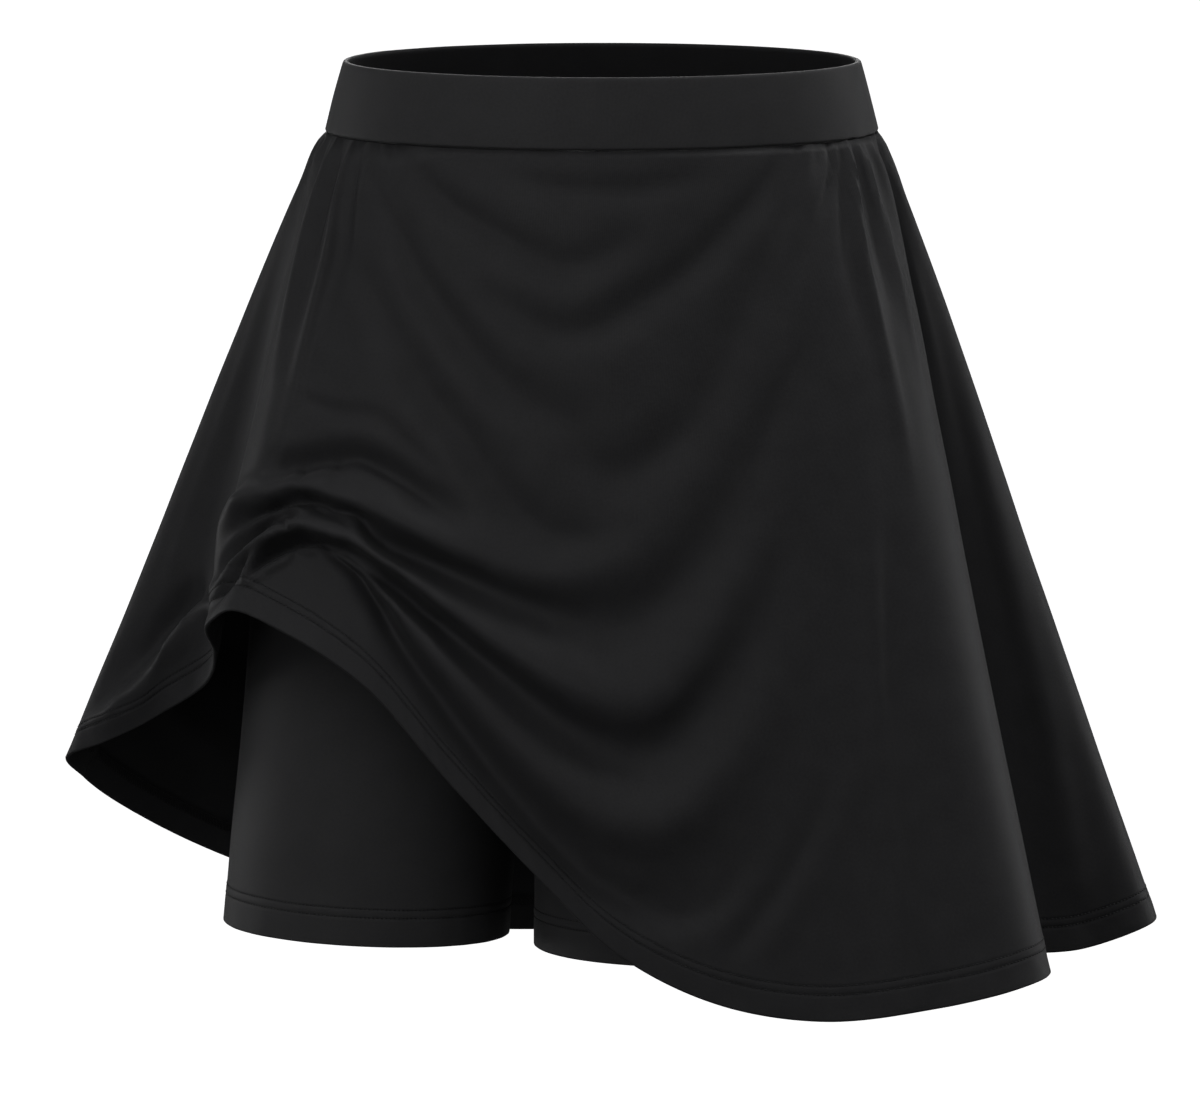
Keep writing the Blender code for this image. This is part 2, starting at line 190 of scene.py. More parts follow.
# Height, size and seeds of the small unevenness of each cloth
FRONT_SEED = 3
BACK_SEED = 7
RIGHT_LEG_SEED = 11
LEFT_LEG_SEED = 13
BAND_RIPPLE_SEED = 21
BAND_WAVE_SEED = 22
PUCKER_HEIGHT = 0.3
PUCKER_SIZE = 6
PUCKER_LENGTH = 40
PUCKER_SLANT = 0.6
WAVE_HEIGHT = 0.3
WAVE_SIZE = (26, 44)
LEG_PUCKER_HEIGHT = 0.18
LEG_PUCKER_SIZE = 7
LEG_WAVE_HEIGHT = 0.5
LEG_WAVE_SIZE = (60, 50)
LEG_WAVE_ABOVE_HEM = 90
LEG_WAVE_REACH = 70

STITCH_PITCH = 2.3
STITCH_LENGTH = 1.45
STITCH_RADIUS = 0.3
STITCH_LIFT = 0.55
LOOPER_RADIUS = 0.2
LOOPER_LIFT = 0.12

# Folds of the front panel. Each has a name, a lean and its line. A line's rows are (along, z,
# height, width above, width below): `along` is the distance round the skirt from the centre front,
# negative to the wearer's right, height is how far the fold stands out (or in, where negative), and
# above is the left-hand side when the line is followed. A row with one width has it on both sides.
# Lean slides a ridge down over the hollow below it, as a share of its height.
BUNCH_FOLDS = (
    ("upper hollow", 0, (
        (-189, -215, 0, 8, 5.5), (-178, -210, -6, 8, 5.5), (-167, -207, -9.3, 8, 5.5),
        (-152, -204, -10.2, 8, 5.5), (-137, -203, -10.2, 8, 5.5), (-123, -206, -9.3, 8, 5.5),
        (-109, -213, -8.5, 8, 5.5), (-95, -222, -6.8, 8, 5.5), (-81, -231, -4.2, 8, 5.5),
        (-70, -238, 0, 8, 5.5),
    )),
    ("first bump", 0, (
        (-171, -206.5, 0, 2.8), (-170, -209.5, 1.7, 2.8), (-170, -213.5, 1.8, 3), (-171, -217.5, 0, 3),
    )),
    ("notch", 0, (
        (-168, -206, 0, 2.1), (-165, -209, -1.6, 2.1), (-163, -212.5, -1.4, 2.1),
        (-161, -215.5, 0, 2.1),
    )),
    ("second bump", 0, (
        (-160, -213.5, 0, 4.5, 3.9), (-154, -212, 2.2, 4.5, 3.9), (-151, -212, 2.3, 4.5, 3.9),
        (-146, -213.5, 0, 4.5, 3.9),
    )),
    ("second notch", 0, (
        (-150, -203.5, 0, 2.1), (-146, -205.5, -1.7, 2.1), (-143, -208.5, -2, 2.1),
        (-139, -207.5, -1.6, 2.1), (-136, -204.5, 0, 2.1),
    )),
    ("third bump", 0.1, (
        (-142, -210.5, 0, 2.4, 3), (-138, -206.5, 3, 2.4, 3.4), (-132, -206, 3.8, 2.4, 4),
        (-122, -210.5, 3, 2.6, 4), (-110, -216.5, 1.8, 3, 4.5), (-98, -222.5, 0, 4, 5),
    )),
    ("fine crease in the third bump", 0, (
        (-133, -204, 0, 1.8), (-126, -207, -1.2, 1.8), (-118, -211, -1.2, 1.8), (-108, -215.5, 0, 1.8),
    )),
    ("ridge B", 0.35, (
        (-234, -288, 0, 4.5), (-232, -276, 1.5, 5, 4.5), (-228, -262, 2.6, 5.5, 4.5),
        (-222, -249, 3.4, 5.5, 4), (-214, -239, 4.4, 5, 4), (-206, -231.5, 5.6, 5, 4),
        (-198, -226, 7, 5, 4), (-189, -221.5, 7, 5, 4.5), (-181, -221, 8, 5, 4.5),
        (-172, -220, 8.5, 5, 4), (-163, -220, 9, 5, 4), (-154, -221, 9, 5.5, 4),
        (-143, -224, 8.5, 7, 4.5), (-131, -227, 8, 9, 5), (-118, -231.5, 7.5, 10, 5),
        (-108, -236, 8.1, 10, 6), (-97, -241, 8.5, 11, 6.5), (-86, -246, 7.2, 12, 7),
        (-76, -250, 5.9, 12, 7.5), (-65, -254, 5.2, 12, 7.5), (-54, -258, 4.7, 12, 8),
        (-43, -261, 4.4, 13, 9), (-32, -263.5, 4.2, 13, 10), (-20, -263.5, 3.8, 13, 12),
        (-8, -260.5, 3.4, 14, 15), (4, -257, 3, 14, 17), (16, -252.5, 2.5, 15, 17),
        (28, -245.5, 2.1, 15, 14.5), (40, -230.5, 1.7, 14.5, 13), (52, -215, 1.4, 14, 10.5),
        (64, -191, 1, 14, 11.5), (78, -160, 0, 14, 12),
    )),
    ("hollow C", 0, (
        (-231, -282, 0, 3.6), (-227, -269, -1.2, 3.8, 3.6), (-221, -257, -3.4, 4, 3.8),
        (-213, -246, -6.5, 4.5, 4), (-204, -238, -9, 5, 4), (-195, -232, -11, 4.5, 3.6),
        (-187, -228.5, -11.5, 4.5, 3.3), (-180, -226.5, -11.5, 4, 3), (-171, -224.5, -12, 3.6, 2.8),
        (-162, -224.5, -11.5, 3.4, 2.6), (-153, -224.5, -10.2, 3.2, 2.6),
        (-145, -227.5, -9.4, 3.2, 2.6), (-136, -229.5, -9.5, 3.4, 2.8), (-129, -232, -11.2, 3.6, 3),
        (-118, -243.5, -13.1, 4.5, 5), (-108, -249, -14.1, 6, 6.5), (-97, -253.5, -14.6, 7, 8),
        (-86, -258.5, -12.3, 7, 10), (-76, -262.5, -9.9, 7.5, 11.5), (-65, -267, -8.8, 7.5, 13.5),
        (-54, -271.5, -8.2, 7.5, 15.5), (-43, -276, -8, 8.5, 17), (-32, -280.5, -7.9, 9.5, 17),
        (-20, -283.5, -7.4, 12.5, 17), (-8, -286, -7, 15.5, 17), (4, -286, -6.6, 17),
        (16, -284, -6, 17), (28, -278.5, -5.1, 14.5, 17), (40, -263.5, -4.2, 13, 17),
        (52, -248.5, -3.8, 13, 17), (64, -233.5, -3.7, 16, 17), (78, -209.5, -3.2, 12.5, 11.5),
        (92, -178.5, -2.9, 8.5, 11.5), (106, -151.5, -1.7, 3.6, 17), (120, -127, 0, 9.5, 17),
    )),
    ("thin ridge in C", 0.2, (
        (-167, -225, 0, 2.2, 2), (-160, -225.5, 2.4, 2.4, 2), (-152, -226, 3.6, 2.6, 2.2),
        (-145, -228, 4.2, 2.8, 2.2), (-136, -231, 4.6, 3, 2.4), (-129, -234, 4.8, 3, 2.6),
        (-122, -239, 4, 3, 2.6), (-117, -244, 0, 3, 2.6),
    )),
    ("thin hollow in C", 0, (
        (-165, -227, 0, 1.8, 2), (-158, -228, -3, 1.8, 2), (-151, -230.5, -4, 1.8, 2.2),
        (-143, -233, -3.6, 2, 2.4), (-136, -236, -2, 2, 2.4), (-130, -239, 0, 2, 2.4),
    )),
    ("ridge D", 0.35, (
        (-230, -276, 0, 4, 4.5), (-225, -266, 2, 4.5, 5), (-218, -256, 5, 5, 5.5),
        (-210, -246.5, 8.5, 5, 6), (-203, -239.5, 11, 5, 6), (-196, -234, 12.5, 5, 6),
        (-189, -230, 12, 5, 5.5), (-182, -227.5, 10.5, 4.5, 5), (-175, -226, 9, 4, 5),
        (-167, -227, 7, 4), (-161, -229.5, 4, 3.6, 4), (-156, -233.5, 0, 3.4, 3.6),
    )),
    ("dimple in D", 0, (
        (-177, -230.5, 0, 1.6), (-173, -231.5, -2.6, 1.8, 1.6), (-168, -233, -2.8, 1.8, 1.6),
        (-163, -234, 0, 1.8, 1.6),
    )),
    ("hook under D", 0, (
        (-175, -232.5, 0, 1.6), (-172, -234, 1.6, 1.6), (-168, -236, 2.2, 1.6), (-163, -235.5, 2, 1.6),
        (-160, -233, 0, 1.6),
    )),
    ("crease under the hook", 0, (
        (-176, -234, 0, 1.6), (-172, -236.5, -2, 1.6), (-168, -238.5, -2.2, 1.6), (-162, -238, 0, 1.6),
    )),
    ("hollow E", 0, (
        (-226, -280, 0, 4), (-219, -267, -3.4, 4.5), (-211, -257.5, -8, 4.5),
        (-203, -250.5, -11.5, 4.5), (-196, -244.5, -13, 4.5), (-190, -240, -12, 4),
        (-184, -237, -10, 3.6), (-178, -235, -7, 3.2), (-172, -234, -3.5, 3), (-168, -234, 0, 3),
    )),
    ("small crest beside E", 0, (
        (-184, -243, 0, 2), (-181, -239, 3, 2, 1.8), (-178, -237, 3, 2, 1.8), (-172, -238, 0, 2),
    )),
    ("flare ridge", 0.15, (
        (-388, -364, 0, 3.6, 7), (-385, -361.5, 2.5, 3.6, 7.5), (-380, -358, 5, 3.6, 9),
        (-374, -356, 7, 3.6, 10.5), (-365, -349, 9.5, 4, 12), (-355, -342, 11.5, 4, 12),
        (-347, -334.5, 13.5, 4.5, 12), (-338, -326, 15, 4.5, 11.5), (-327, -316, 15.5, 5, 11),
        (-316, -306, 12.5, 5, 9.5), (-308, -296, 8.5, 5.5, 8), (-290, -291, 4, 5, 6),
        (-270, -287, 2, 5), (-250, -280, 1.6, 4, 5), (-222, -273, 2.4, 3.8, 5),
        (-209, -267, 4.2, 3.6, 4.5), (-200, -258, 6.5, 3.2, 4), (-193, -251, 6.5, 2.7, 3.2),
        (-187, -246, 5.5, 2.4, 2.8), (-182, -242, 3, 2.2, 2.4), (-178, -239, 0, 2.2, 2.4),
    )),
    ("groove under the flare ridge", 0, (
        (-232, -290, 0, 3), (-222, -283, -1.6, 3), (-212, -275, -4.4, 3), (-205, -268, -6.8, 3),
        (-199, -261, -8, 3, 2.6), (-195, -256, -6, 2.6, 2.2), (-193, -252, 0, 2.2),
    )),
    ("short ridge in the groove", 0, (
        (-188, -250, 0, 2), (-189, -254, 4, 1.8, 2), (-191, -258, 5, 1.8, 2), (-193, -263, 4, 1.8, 2),
        (-195, -268, 0, 2),
    )),
    ("ridge F", 0.35, (
        (-189, -254, 0, 2.4), (-185, -249, 5, 3, 2.6), (-180, -246, 8, 3.4, 3),
        (-175, -243.5, 10, 3.8, 3.2), (-163, -241, 11.5, 4.5, 3.2), (-157, -241, 11.5, 5, 3.2),
        (-149, -243, 11.5, 5.5, 3.4), (-141, -245, 11.5, 6, 3.4), (-133, -247, 11, 6.5, 3.6),
        (-118, -255.5, 11, 7.5, 3.9), (-108, -261, 11.9, 7.5, 4.5), (-97, -268.5, 12.3, 8, 5),
        (-86, -276, 10.4, 9, 6), (-76, -283, 8.7, 10, 6.5), (-65, -290.5, 8.1, 12, 7),
        (-54, -298, 7.6, 13.5, 7.5), (-43, -305.5, 7.7, 15, 8.5), (-32, -312.5, 7.7, 17, 9.5),
        (-20, -319.5, 7.3, 17, 10.5), (-8, -325.5, 6.9, 17, 11.5), (4, -329.5, 6.4, 17, 13.5),
        (16, -331, 6, 17, 15), (28, -328.5, 5.5, 17, 12.5), (40, -314, 4.8, 17, 12),
        (52, -299.5, 4.2, 17, 12), (64, -278.5, 3.4, 14, 12), (78, -254, 2, 12.5, 11.5),
        (92, -222.5, 0, 15, 13),
    )),
    ("hollow G", 0, (
        (-192, -262, 0, 2.6, 3), (-187, -258, -5, 2.8, 3), (-183, -254, -9, 3), (-180, -252, -11, 3),
        (-174, -249, -12, 3), (-169, -247, -12, 3, 2.8), (-164, -246, -11, 2.8, 2.6),
        (-156, -245.5, -9, 2.6, 2.4), (-149, -246.5, -8, 2.4), (-141, -249, -9, 2.6),
        (-133, -252.5, -10.5, 3), (-118, -263.5, -12.8, 4), (-108, -270, -14.7, 5, 5.5),
        (-97, -279, -15.7, 5, 7), (-86, -288, -13.3, 5.5, 9.5), (-76, -295.5, -11.1, 6.5, 12),
        (-65, -304, -9.8, 6.5, 14), (-54, -312.5, -9, 7, 16), (-43, -321.5, -8.9, 7.5, 16.5),
        (-32, -330.5, -8.8, 8.5, 17), (-20, -339, -8.5, 10, 17), (-8, -346, -7.9, 11, 17),
        (4, -352, -7.5, 13.5, 17), (16, -355, -6.8, 14.5, 17), (28, -354.5, -5.9, 14, 17),
        (40, -344.5, -5.2, 14.5, 17), (52, -334, -4.4, 14, 17), (64, -316.5, -3.4, 13.5, 16),
        (78, -296, -2.2, 11.5, 13.5), (92, -260, -1.4, 8.5, 11.5), (106, -222, 0, 3.6, 12.5),
    )),
    ("folded corner under F", 0, (
        (-167, -248.5, 0, 1.8), (-168, -252, 2, 1.8), (-171, -255.5, 2.6, 1.8, 2),
        (-176, -258, 2.6, 1.8, 2.2), (-182, -261, 2.4, 2, 2.4), (-188, -265, 2, 2, 2.4),
        (-196, -271, 0, 2, 2.4),
    )),
    ("knot under F", 0, (
        (-168, -247, 0, 1.8), (-164, -249, 2, 1.8), (-158, -250.5, 2.4, 1.8), (-153, -249, 2, 1.8),
        (-150, -246, 0, 1.8),
    )),
    ("ridge H", 0.35, (
        (-153, -247, 0, 2), (-147, -249, 4, 2.2), (-141, -252, 6.5, 2.6), (-134, -256.5, 8.5, 3),
        (-126, -262.5, 10, 3.6, 3.4), (-118, -271.5, 11, 4), (-109, -281, 12.8, 5, 4.5),
        (-97, -294.5, 14.3, 6, 12.5), (-86, -308, 12.3, 8, 16), (-76, -319.5, 10.3, 10, 16),
        (-65, -332.5, 9.5, 11.5, 16), (-54, -345, 9, 14, 16), (-43, -356, 8.9, 15, 16),
        (-32, -367, 8.8, 16), (-20, -377, 8.5, 17, 16), (-8, -385, 7.9, 17, 16),
        (4, -391, 7.3, 17, 16), (16, -394, 6.6, 17, 16), (28, -394, 5.9, 17, 16),
        (40, -385.5, 5.2, 17, 16), (52, -377, 4.4, 17, 16), (64, -362, 3.5, 17, 16),
        (78, -345, 2.5, 15, 16), (92, -312.5, 1.8, 13, 16), (106, -277, 0, 12, 16),
    )),
    ("hollow J", 0, (
        (-150, -250, 0, 2, 2.3), (-141, -254, -5, 2.6, 3.4), (-132, -260, -7, 3.4, 4),
        (-124, -270, -8, 4, 5.5), (-116, -281, -9, 4.5, 6), (-108, -292, -9.5, 5, 7),
        (-100, -303, -10, 6, 7.5), (-92, -314, -10.5, 6.5, 8), (-83, -326, -10.5, 7.5, 8),
        (-75, -337, -10.5, 9, 8.5), (-67, -347, -10.5, 9.5, 8.5), (-59, -358, -10.2, 10.5, 8.5),
        (-48, -371, -10, 12, 9), (-38, -383, -9.5, 13, 9), (-27, -396, -9, 13.5, 9),
        (-17, -407, -8, 14, 9), (-7, -416, -7.4, 15, 9), (4, -424, -6.6, 16, 9),
        (15, -430, -6, 17.5, 9), (30, -436, -5, 19, 9), (47, -436, -4, 21, 10.5),
        (63, -424, -3, 21, 11.5), (78, -402, -1.6, 21, 12.5), (90, -372, 0, 21, 14),
    )),
    ("hollow above the flare ridge", 0, (
        (-371, -344, 0, 8, 5.5), (-362, -333, -3, 8, 5.5), (-351, -322, -5, 8, 5.5),
        (-340, -309, -6, 8, 5.5), (-329, -299, -6, 8, 5.5), (-320, -288, -5, 8, 5.5),
        (-313, -280, 0, 8, 5.5),
    )),
)

# Soft swags between the two groups of gathers, and the long soft folds to the right of them.
SWAG_FOLDS = (
    ("first swag's hollow", 0.15, (
        (-124, -41, -0.8, 3.6), (-113, -44, -2, 4.5), (-94, -61, -3.4, 6), (-76, -75, -4.2, 7.5),
        (-54, -86, -3.8, 8), (-33, -98, -3.6, 9), (-11, -101, -3.2, 9), (9, -91, -2, 9),
        (25, -80, 0, 9),
    )),
    ("hollow from the left", 0.15, (
        (-71, -112, 0, 7), (-54, -120, -2, 8), (-33, -133, -3, 9), (-11, -136, -3.6, 9.5),
        (9, -127, -4.4, 10), (31, -114, -4.8, 10), (51, -99, -4.6, 9), (74, -77, -4, 8),
        (91, -58, -2.8, 6), (103, -42, -1.2, 4.5),
    )),
    ("second swag's hollow", 0.15, (
        (-143, -40, -1, 4), (-127, -60, -1.6, 5.5), (-111, -82, -2.6, 7), (-99, -106, -3.6, 8),
        (-76, -137, -4.6, 10), (-54, -162, -4.6, 11), (-32, -176, -4, 12), (-14, -181, -2.4, 12),
        (-1, -184, 0, 12),
    )),
    ("third swag's hollow", 0.15, (
        (-149, -79, 0, 7), (-135, -100, -1.2, 8), (-122, -121, -2.4, 9), (-110, -144, -3.6, 10),
        (-98, -162, -4.4, 10), (-75, -189, -4.6, 10), (-54, -218, -4.4, 10), (-32, -238, -4, 10),
        (-12, -244, -2.6, 10), (7, -240, 0, 10),
    )),
    ("fourth swag's hollow", 0.15, (
        (-24, -184, 0, 10), (-11, -199, -2.8, 11), (9, -211, -4.2, 12), (30, -197, -3.8, 12),
        (52, -177, -3, 12), (73, -132, -2.6, 11), (97, -82, -3, 8), (109, -54, -1, 6),
    )),
    ("faint hollow above the bunch", 0.1, (
        (-177, -170, 0, 4), (-163, -174, -1.6, 4), (-145, -179, -2, 4.5), (-121, -181, -1.8, 5),
        (-98, -199, -1.4, 5), (-81, -214, 0, 5),
    )),
    ("shallow groove under the band", 0.2, (
        (-55, -55, 0, 6), (-30, -60, -2.2, 6), (6, -62, -2.8, 6), (36, -59, -2.2, 6), (62, -54, 0, 6),
    )),
    ("gather groove 1", 0, (
        (110, -38, -1.5, 3.5), (108, -52, -2, 4, 5), (97, -66, -1.5, 6), (78, -86, 0, 8),
    )),
    ("gather groove 2", 0, (
        (130, -38, -1.6, 3.5), (129, -58, -2.2, 5), (122, -78, -2.1, 6), (110, -99, -2, 8),
        (88, -126, -1.2, 10), (66, -150, 0, 11),
    )),
    ("long soft ridge", 0, (
        (144, -196, 0, 8), (145, -235, 1.8, 7, 8), (145, -275, 3, 6, 8), (147, -320, 3.3, 6, 8),
        (151, -360, 3.3, 6, 9), (156, -398, 3.3, 7, 10), (161, -435, 3.3, 8, 11),
        (166, -475, 3, 9, 12), (168, -500, 2.2, 9, 12),
    )),
    ("long soft hollow", 0, (
        (153, -236, 0, 8, 10), (157, -285, -2, 9, 10), (161, -339, -3.1, 10, 12),
        (168, -390, -3.2, 12, 14), (176, -440, -3.2, 14, 15), (182, -500, -3.1, 15, 16),
    )),
    ("soft crease, lower", 0.2, (
        (60, -462, 0, 6, 8), (72, -452, -2.4, 6, 9), (84, -438, -2.9, 6, 10), (98, -419, -2.9, 6, 10),
        (109, -400, -2.4, 7, 11), (118, -378, -1.7, 8, 12), (124, -352, 0, 8, 12),
    )),
    ("soft ridge, lower", 0.1, (
        (76, -462, 0, 8, 9), (88, -446, 1.7, 8, 9), (102, -426, 2.2, 9), (115, -404, 1.9, 9),
        (127, -378, 1.2, 10), (132, -352, 0, 10),
    )),
    ("faint ridge under H", 0.1, (
        (-14, -402, 0, 5), (0, -411, 1.7, 5), (16, -419, 1.8, 5), (38, -424, 0, 6),
    )),
    ("left fold's edge", 0, (
        (173, -42, 0, 4), (187, -105, 0.4, 6, 8), (203, -193, -1.2, 7, 13), (220, -303, -1.6, 8, 14),
        (234, -390, -1.6, 9, 13), (248, -476, -0.8, 10, 11), (252, -500, -0.2, 10),
    )),
    ("hollow behind the left fold", 0, (
        (190, -40, -1.8, 4), (203, -62, -4, 6), (218, -105, -6, 9), (248, -193, -6, 12),
        (284, -302, -5, 14), (317, -391, -4, 16), (352, -476, -2, 17), (360, -500, -2, 17),
    )),
    ("right fold's edge", 0, (
        (-180, -42, 1.6, 3), (-188, -56, 0, 5), (-196, -77, -2.6, 8), (-203, -104, -1.2, 8),
        (-206, -128, 0.6, 6), (-210, -192, 1, 7), (-214, -225, 1.4, 6), (-219, -250, 2.2, 6),
        (-222, -268, 2.2, 6), (-224, -285, 1, 6), (-226, -297, 0, 6),
    )),
    ("hollow behind the right fold", 0, (
        (-193, -40, -2.2, 3.6), (-202, -62, -5, 6, 5), (-211, -90, -8, 9, 7),
        (-224, -136, -11.5, 12, 9), (-240, -200, -12, 15, 11), (-250, -245, -8, 15, 12),
        (-258, -285, 0, 14, 12),
    )),
    ("long gather, right", 0, (
        (-142, -40, 0.5, 2), (-149, -51, 2.8, 2.4), (-152, -72, 3.6, 2.6, 3), (-155, -98, 3.6, 3, 3.4),
        (-162, -124, 3.2, 3.4, 4), (-169, -155, 2.6, 4, 5), (-175, -188, 1.6, 5, 6),
        (-180, -215, 0, 6),
    )),
    ("second gather, right", 0, (
        (-163, -40, 0.5, 2), (-168, -51, 2.4, 2.2), (-173, -69, 3, 2.4, 2.6), (-178, -90, 2.8, 2.8, 3),
        (-183, -115, 2.2, 3.2, 3.4), (-188, -145, 1.2, 4), (-192, -172, 0, 4),
    )),
    ("hollow between them, right", 0, (
        (-154, -40, -0.5, 2.6), (-159, -50, -2.6, 3), (-162, -67, -3.2, 3.6), (-166, -90, -3, 4.5),
        (-172, -120, -2, 6), (-178, -150, 0, 7),
    )),
    ("hollow before the long gather, right", 0, (
        (-138, -41, -0.5, 2.4), (-141, -50, -2, 2.8), (-142, -70, -2.6, 3.6), (-145, -98, -2.4, 5),
        (-151, -124, -1.8, 6.5), (-157, -155, 0, 8),
    )),
    ("long gather, left", 0, (
        (142, -40, 0.5, 2), (147, -49, 2.6, 2.4), (147, -68, 3.4, 2.8, 2.6), (149, -98, 3.4, 3.2, 3),
        (154, -122, 3, 3.8, 3.4), (160, -150, 2.4, 4.5, 4), (167, -185, 1.5, 5.5, 5),
        (174, -225, 0, 6),
    )),
    ("second gather, left", 0, (
        (151, -40, 0.5, 2), (159, -49, 2.3, 2.2), (166, -70, 2.9, 2.6, 2.4), (173, -89, 2.7, 3, 2.8),
        (179, -110, 2.2, 3.4, 3.2), (186, -140, 1.4, 4), (193, -178, 0, 4),
    )),
    ("hollow between them, left", 0, (
        (147, -40, -0.5, 2.4), (153, -49, -2.4, 2.8), (156, -68, -3, 3.4), (160, -91, -2.8, 4),
        (166, -115, -2, 5.5), (172, -145, 0, 6.5),
    )),
    ("hollow before the long gather, left", 0, (
        (137, -41, -0.5, 2.4), (140, -50, -2, 2.8), (139, -70, -2.6, 3.6), (140, -98, -2.2, 5),
        (144, -122, -1.6, 6.5), (150, -150, 0, 8),
    )),
    ("soft ridge on the right flare", 0, (
        (279, -184, 0, 8), (292, -211, 1.2, 8), (305, -239, 2, 9), (331, -293, 2.8, 10),
        (358, -348, 3, 11), (382, -402, 3, 11), (407, -457, 2.4, 11),
    )),
)


# Sharp ridges that fall from the gathers at both ends of the front: (name, height, crest width,
# line). A line's rows are (along, z). `along` is as in the tables above.
FRONT_GATHERS = (
    ("right, at the fold edge", 2.03, 2.4, ((-180, -39), (-188, -52), (-196, -72), (-203, -102))),
    ("right, short by the edge", 1.35, 1.9, ((-171, -39), (-175, -49), (-180, -62))),
    ("right, fourth", 2.03, 1.9, ((-132, -41), (-135, -48), (-134, -58), (-133, -70))),
    ("right, fifth", 1.49, 1.8, ((-124, -41), (-125, -45), (-126, -54))),
    ("right, sixth", 1.22, 1.8, ((-116, -41), (-114, -47), (-110, -55))),
    ("left, first", 1.35, 1.8, ((118, -41), (116, -48), (112, -61))),
    ("left, second", 2.16, 1.9, ((127, -41), (128, -49), (122, -64), (115, -82))),
    ("left, third", 1.62, 1.8, ((135, -41), (138, -48), (141, -61))),
    ("left, short by the edge", 1.35, 1.9, ((158, -40), (167, -50), (173, -63))),
    ("left, at the fold edge", 2.16, 2.4, ((166, -40), (175, -50), (183, -66), (190, -88), (197, -118))),
)

# Hollows between them: (name, depth, width, line)
FRONT_GATHER_HOLLOWS = (
    ("right, fourth", 1.56, 2.8, ((-128, -41), (-130, -47), (-130, -60))),
    ("right, fifth", 1.3, 2.6, ((-120, -41), (-120, -46), (-117, -58))),
    ("right, by the edge", 1.56, 2.8, ((-172, -39), (-179, -50), (-185, -68), (-190, -92))),
    ("left, first", 1.3, 2.6, ((122, -41), (121, -48), (117, -62))),
    ("left, third", 1.56, 2.6, ((132, -41), (133, -49), (129, -65), (123, -82))),
    ("left, fourth", 1.82, 2.8, ((139, -40), (143, -48), (142, -60), (141, -76), (136, -98))),
    ("left, by the edge", 1.82, 3, ((157, -40), (166, -49), (172, -66), (178, -90), (184, -118))),
)

# Soft folds of the back, where `along` is the distance from the centre back, positive to the
# wearer's right: three broad flutes, the drapes between them and pulls towards the lifted side.
BACK_FOLDS = (
    ("left flute", 0, (
        (-100, -52, 0, 6), (-110, -76, 1.6, 7), (-121, -104, 2.4, 9), (-139, -194, 2.6, 12),
        (-157, -306, 2.4, 13), (-170, -396, 2, 14), (-184, -500, 1.6, 15),
    )),
    ("left flute's hollow", 0, (
        (-82, -40, -1, 4), (-92, -84, -1.8, 7), (-103, -150, -2, 10), (-114, -230, -1.4, 12),
        (-122, -300, 0, 13),
    )),
    ("second left ridge", 0, (
        (-128, -40, 1, 4), (-143, -82, 2, 6), (-160, -136, 2.2, 9), (-180, -214, 1.6, 11),
        (-204, -300, 0, 12),
    )),
    ("dip on the left", 0, (
        (-50, -60, 0, 7), (-62, -104, -1.6, 9), (-74, -196, -2.4, 12), (-86, -311, -2.6, 13),
        (-99, -500, -2, 15),
    )),
    ("middle flute", 0, (
        (-8, -120, 0, 9), (-4, -196, 1.6, 12), (-1, -314, 2.2, 13), (-6, -407, 2.2, 13),
        (-8, -505, 2, 14),
    )),
    ("crease beside the middle", 0, (
        (22, -168, 0, 6, 8), (26, -246, -1.6, 6, 8), (33, -330, -2.2, 7, 9), (38, -410, -1.8, 8, 10),
        (40, -470, 0, 9, 10),
    )),
    ("dip on the right", 0, (
        (50, -56, 0, 7), (62, -104, -1.4, 9), (72, -196, -2.2, 11), (82, -311, -2.4, 12),
        (92, -500, -2, 14),
    )),
    ("right flute", 0, (
        (108, -50, 0, 6), (124, -84, 1.8, 8), (148, -172, 2.6, 11), (174, -289, 2.6, 12),
        (189, -374, 2.2, 13), (205, -462, 1.6, 14),
    )),
    ("second right ridge", 0, (
        (132, -40, 1, 4), (150, -78, 2, 6), (172, -130, 2.2, 9), (200, -205, 1.6, 11),
        (222, -268, 0, 12),
    )),
    ("drape from the left", 0.2, (
        (-72, -38, -1.2, 4), (-58, -66, -1.8, 7, 6), (-38, -94, -1.8, 9, 8), (-14, -110, -1.2, 10, 9),
        (12, -112, 0, 10, 9),
    )),
    ("drape from the right", 0.2, (
        (78, -38, -1.2, 4), (66, -74, -1.8, 7, 6), (48, -112, -1.8, 9, 8), (26, -138, -1.4, 10, 9),
        (2, -150, 0, 10, 9),
    )),
    ("upper pull to the lifted side", 0.2, (
        (296, -262, 0, 9, 10), (262, -290, 2, 10, 11), (226, -322, 2.8, 11, 12),
        (186, -352, 2.2, 12, 13), (146, -372, 0, 13, 14),
    )),
    ("lower pull to the lifted side", 0.2, (
        (316, -322, 0, 9, 10), (282, -348, -2, 9, 11), (244, -376, -2.6, 10, 12),
        (206, -400, -2, 11, 13), (168, -416, 0, 12, 14),
    )),
)

# Gathers that the tables above don't name: (panel side, first along, last along, how many). They
# fan out towards the side seam as the cloth widens, and differ in length and height.
GATHER_RUNS = (
    (-1, -224, -186, 5),
    (-1, 190, 222, 5),
    (1, -166, -34, 19),
    (1, 30, 165, 20),
)
GATHER_FAN = 0.0027


# ---------------------------------------------------------------- curves and noise


def curve_slopes(knots, values):
    """The slope at each knot of a smooth curve through the values, for uneven knots."""
    steps = np.diff(knots)
    rises = np.diff(values, axis=0) / steps[:, None]
    middle = (rises[:-1] * steps[1:, None] + rises[1:] * steps[:-1, None]) / (steps[:-1] + steps[1:])[:, None]
    return np.vstack([rises[:1], middle, rises[-1:]])


